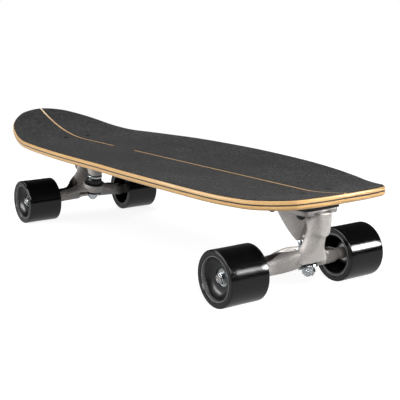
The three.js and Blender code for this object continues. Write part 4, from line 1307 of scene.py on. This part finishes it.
fine_bump = fine_bump_group()
patches = patches_group()
print("groups", fine_bump.name, patches.name)

# %% [markdown]
# Castings, rubber, plastic and plated steel differ only in their colours, in how rough they are, and in the size
# of their grain, so one function makes them all.

# %% Finishes made of patches and fine bump
speckle_range = (0.32, 0.68)


def finish(name, **constants):
    """A new material with its Principled shader and the constants set on the shader's own sockets."""
    material = bpy.data.materials.new(name)
    material.use_nodes = True
    shader = material.node_tree.nodes["Principled BSDF"]
    feed(shader, **constants)
    return material, material.node_tree, shader


def patch_mask(tree, scale, rubs):
    """The shared patches at some size, with some share of rubs."""
    return add_node(tree, "Group", settings=dict(node_tree=patches), Scale=scale, Rubs=rubs).outputs["Mask"]


def varied(tree, shader, mask, dark, light, rough):
    """Colour and roughness that move between two ends with a mask. Gives back the colour."""
    colour = mixed_colour(tree, mask, dark, light)
    feed(shader, Base_Color=colour, Roughness=mapped(tree, mask, 0.0, 1.0, *rough))
    return colour


def simple_finish(name, dark, light, rough, metallic=0.0, grain=900, depth=0.0001, strength=0.3, scale=18,
                  rubs=0.3, speckle=0.0):
    """A finish made only of patches and fine bump. The speckle lets the fine grain into the colour."""
    material, tree, shader = finish(name, Metallic=metallic)
    mask = patch_mask(tree, scale, rubs)
    bump = add_node(tree, "Group", settings=dict(node_tree=fine_bump), Scale=grain, Distance=depth,
                    Strength=strength).outputs
    feed(shader, Normal=bump["Normal"])
    if speckle:
        mask = mixed(tree, speckle, mask, mapped(tree, bump["Mask"], *speckle_range))
    varied(tree, shader, mask, dark, light, rough)
    return material


def grey(value):
    """A colour without hue."""
    return (value, value, value)


# %% [markdown]
# The wood is clear lacquered veneer. Along the edge the veneers' end grain shows as thin layers, so the colour
# follows the height inside the deck, which each layer's mesh carries as an attribute, and a long stretched noise
# gives the grain.

# %% Wood and dark ply
veneer = 1.05 * MM
seam_range = (0.86, 1.0)
seam_strength = 0.55
stain_fade = (0.02 * MM, 0.12 * MM)
grain_stretch = (9.0, 160.0, 160.0)
grain_depth = 0.1 * MM


def attribute(tree, name):
    """An attribute that some pieces carry at each point."""
    return add_node(tree, "Attribute", settings=dict(attribute_name=name)).outputs["Fac"]


def wood_finish(name, dark, light, line, underside=None):
    """Veneers with a line at each seam between them, and a stain on the underside where there is one."""
    material, tree, shader = finish(name, Coat_Weight=0.4, Coat_Roughness=0.12)
    stretched = add_node(tree, "Mapping", Vector=own_place(tree), Scale=grain_stretch).outputs["Vector"]
    grain = noise(tree, stretched, scale=2.2, detail=6.0, Roughness=0.62, Distortion=0.4)
    base = varied(tree, shader, grain, dark, light, rough=(0.34, 0.46))
    lift = attribute(tree, "lift")
    layer = calculated(tree, "FRACT", calculated(tree, "DIVIDE", lift, veneer))
    base = mixed_colour(tree, mapped(tree, layer, *seam_range, high=seam_strength), base, line)
    if underside:
        base = mixed_colour(tree, mapped(tree, lift, *stain_fade), underside, base)
    feed(shader, Base_Color=base, Normal=bumped(tree, 0.15, distance=grain_depth, height=grain))
    return material


# %% [markdown]
# The grip is crushed stone in black glue: dark, sparkling grains over a rough bed. The wheels' cores are glossy
# plastic with a painted sheen that lightens the ribs a little and a painted highlight round the rim, and the
# castings get painted shade in their pockets.

# %% Grip, cores and pockets
grains_per_metre = 800
grip_depth = 0.35 * MM
bright_grains = (0.6, 1.0)
# Radii where the painted sheen on the ribbed ring and the painted highlight round the rim come in.
rib_sheen_fade_in = (core_radius - ring_width, core_radius - 0.6 * ring_width)
rim_highlight_fade_in = (core_radius - 0.75 * MM, core_radius - 0.35 * MM)


def grip_finish():
    """Every grain has its own brightness, and only the brightest ones show, more in some patches than others."""
    material, tree, shader = finish("grip_tape")
    grains = add_node(tree, "TexVoronoi", Vector=own_place(tree), Scale=grains_per_metre).outputs
    own = add_node(tree, "SeparateColor", Color=grains["Color"]).outputs["Red"]
    worn = patch_mask(tree, scale=9, rubs=0.35)
    speck = calculated(tree, "MULTIPLY", mapped(tree, own, *bright_grains), worn)
    varied(tree, shader, speck, dark=grey(0.010), light=grey(0.105), rough=(0.95, 0.6))
    feed(shader, Normal=bumped(tree, 0.9, distance=grip_depth, height=grains["Distance"]))
    return material


def core_finish(dark, light, rim, ribs):
    """Two painted colours that come in one after the other towards the rim: ribs is a painted sheen on the ribbed
    ring and rim a painted highlight round the rim. The lift attribute of a core holds the radius."""
    material, tree, shader = finish("wheel_core")
    radius = attribute(tree, "lift")
    base = varied(tree, shader, patch_mask(tree, scale=40, rubs=0.3), dark, light, rough=(0.24, 0.34))
    for fade_in, colour in ((rib_sheen_fade_in, ribs), (rim_highlight_fade_in, rim)):
        base = mixed_colour(tree, mapped(tree, radius, *fade_in), base, colour)
    feed(shader, Base_Color=base)
    return material


def paint_pocket_shade(material, colour):
    """Mixes painted shade, a dark colour, into a finish where the piece's attribute for the pockets says so."""
    tree = material.node_tree
    shader = tree.nodes["Principled BSDF"]
    base = shader.inputs["Base Color"].links[0].from_socket
    feed(shader, Base_Color=mixed_colour(tree, attribute(tree, "pocket_shade"), base, colour))


# %% [markdown]
# The colours are linear and were set against the photograph. A node of the imported model that no piece
# stands for, such as a bearing's spacer, still shows, so it gets the finish of its own slot.

# %% All the finishes, put on their pieces
steel = dict(metallic=1.0, grain=2200)
simple_looks = {
    "riser_rubber": dict(dark=grey(0.010), light=grey(0.018), rough=(0.5, 0.62), grain=1400, strength=0.35),
    "truck_casting": dict(dark=(0.33, 0.305, 0.29), light=(0.66, 0.63, 0.605), rough=(0.42, 0.58), metallic=0.4,
                          grain=620, depth=0.0003, strength=0.7, scale=14, rubs=0.35, speckle=0.55),
    "pivot_cup_plastic": dict(dark=grey(0.008), light=grey(0.014), rough=(0.4, 0.5)),
    "axle_steel": dict(dark=(0.34, 0.30, 0.26), light=(0.52, 0.49, 0.45), rough=(0.28, 0.42), metallic=1.0,
                       grain=2600),
    "zinc_steel": dict(dark=(0.52, 0.56, 0.58), light=(0.70, 0.74, 0.76), rough=(0.18, 0.3), **steel),
    "bearing_steel": dict(dark=(0.36, 0.37, 0.38), light=(0.52, 0.53, 0.54), rough=(0.25, 0.36), **steel),
    "black_steel": dict(dark=grey(0.020), light=grey(0.034), rough=(0.75, 0.9), grain=1800),
    "bushing_urethane": dict(dark=grey(0.007), light=grey(0.012), rough=(0.28, 0.36), grain=700),
    "wheel_urethane": dict(dark=grey(0.0018), light=grey(0.003), rough=(0.10, 0.16), grain=500, depth=0.00004,
                           strength=0.12, scale=12),
}
finishes = {name: simple_finish(name, **looks) for name, looks in simple_looks.items()}
# Painted shade in the hangers' pockets.
paint_pocket_shade(finishes["truck_casting"], (0.055, 0.045, 0.043))
stain = (0.010, 0.008, 0.007)
finishes |= {
    "deck_wood": wood_finish("deck_wood", (0.53, 0.30, 0.105), (0.76, 0.48, 0.20), (0.36, 0.19, 0.07), stain),
    "dark_ply": wood_finish("dark_ply", (0.012, 0.010, 0.009), (0.030, 0.024, 0.02), stain),
    "grip_tape": grip_finish(),
    # The core's rim colour is a painted highlight, and its ribs colour is a painted sheen.
    "wheel_core": core_finish(grey(0.003), grey(0.006), rim=grey(0.22), ribs=grey(0.08)),
}
for made, slot in pieces.values():
    made.data.materials.clear()
    made.data.materials.append(finishes[slot])
slot_of_node = {node: entry["slot"]
                for entry in frame["record"]["materials"] for node in entry.get("nodes", [])}
for name, node in frame["nodes"].items():
    if not node.hide_render:
        finish_name = slot_of_node.get(name, "bearing_steel")
        for slot in node.material_slots:
            slot.material = finishes[finish_name]
        print("CAD node shown:", name, finish_name)

# %% [markdown]
# ## Floor, world and lamps
# The photograph has a pure white ground. Camera and mirror rays see a white world near the horizon and below,
# while the lamps and a plain grey sky light the object, so nothing on it is brighter than its own colour.

# %% The floor
floor_half = 3.0
floor_sink = 0.02 * MM
floor_fade = (0.75, 1.2)
floor_grey = 0.32
mirror_floor = 0.55
camera_glow = 0.88
white = (1, 1, 1, 1)

floor_points = floor_half * np.array([[-1, -1, 0], [1, -1, 0], [1, 1, 0], [-1, 1, 0]]) - [0, 0, floor_sink]
floor = new_object("floor", [(floor_points, np.array([[0, 1, 2, 3]]))])

material, tree, shader = finish("floor_white", Base_Color=(*grey(floor_grey), 1), Roughness=0.8,
                                Specular_IOR_Level=0.0, Emission_Color=white)
path = add_node(tree, "LightPath").outputs
feed(shader, Emission_Strength=calculated(tree, "MULTIPLY", path["Is Camera Ray"], camera_glow))
distance = add_node(tree, "VectorMath", own_place(tree), settings=dict(operation="LENGTH")).outputs["Value"]
solid_part = mapped(tree, distance, *floor_fade, 1.0, 0.0)
clear = add_node(tree, "BsdfTransparent").outputs[0]
mirrored = add_node(tree, "Emission", Color=white, Strength=mirror_floor).outputs[0]
surface = add_node(tree, "MixShader", path["Is Glossy Ray"], shader.outputs[0], mirrored).outputs[0]
faded = add_node(tree, "MixShader", solid_part, clear, surface)
feed(tree.nodes["Material Output"], Surface=faded.outputs[0])
floor.data.materials.append(material)
print("floor fades from", floor_fade[0], "to", floor_fade[1])

# %% [markdown]
# The world is white where the camera looks straight at it. Mirrors see a floor below the horizon and a dark
# ceiling above it, and all other rays get the plain sky.

# %% The world
sky_level = 0.30
dark_ceiling = 0.035
horizon = (-0.12, 0.02)

world = bpy.data.worlds.new("studio")
bpy.context.scene.world = world
world.use_nodes = True
tree = world.node_tree
path = add_node(tree, "LightPath").outputs
seen = calculated(tree, "MAXIMUM", path["Is Camera Ray"], path["Is Glossy Ray"])
seen = calculated(tree, "MAXIMUM", seen, path["Is Transmission Ray"])
place = add_node(tree, "TexCoord").outputs["Generated"]
height = add_node(tree, "SeparateXYZ", Vector=place).outputs["Z"]
mirror = mixed(tree, path["Is Camera Ray"], mapped(tree, height, *horizon, mirror_floor, dark_ceiling), 1.0)
feed(tree.nodes["Background"], Color=white, Strength=mixed(tree, seen, sky_level, mirror))
print("world", world.name)


# %% [markdown]
# A product photograph has large soft lamps. Two of them have a narrow beam, because they only make the bright
# band that the near front wheel mirrors on its tread.

# %% The lamps
def lamp(name, place, target, size, power, beam=180):
    """A soft rectangular lamp that looks at a point of the board, with its light kept within the beam's angle."""
    data = bpy.data.lights.new(name, "AREA")
    data.spread = math.radians(beam)
    data.shape = "RECTANGLE"
    data.size, data.size_y = size
    data.energy = power
    made = bpy.data.objects.new(name, data)
    made.location = place
    made.rotation_euler = (Vector(target) - Vector(place)).to_track_quat("-Z", "Y").to_euler()
    bpy.context.scene.collection.objects.link(made)


near_wheel = (0.35, -0.16, 0.05)
lamp("key", (1.2, -0.5, 0.8), (0.3, 0, 0.05), (0.5, 0.5), 10)
lamp("band", (1.22, 0.84, 0.46), near_wheel, (0.30, 0.14), 0.16, beam=24)
lamp("band_glow", (1.22, 0.86, 0.48), near_wheel, (0.36, 0.40), 0.42, beam=24)
lamp("left", (-0.5, -1.3, 0.35), (0, 0, 0.1), (0.9, 0.4), 15)
lamp("top", (-1.2, 0.3, 2.0), (0, 0, 0.1), (1.6, 1.4), 32)
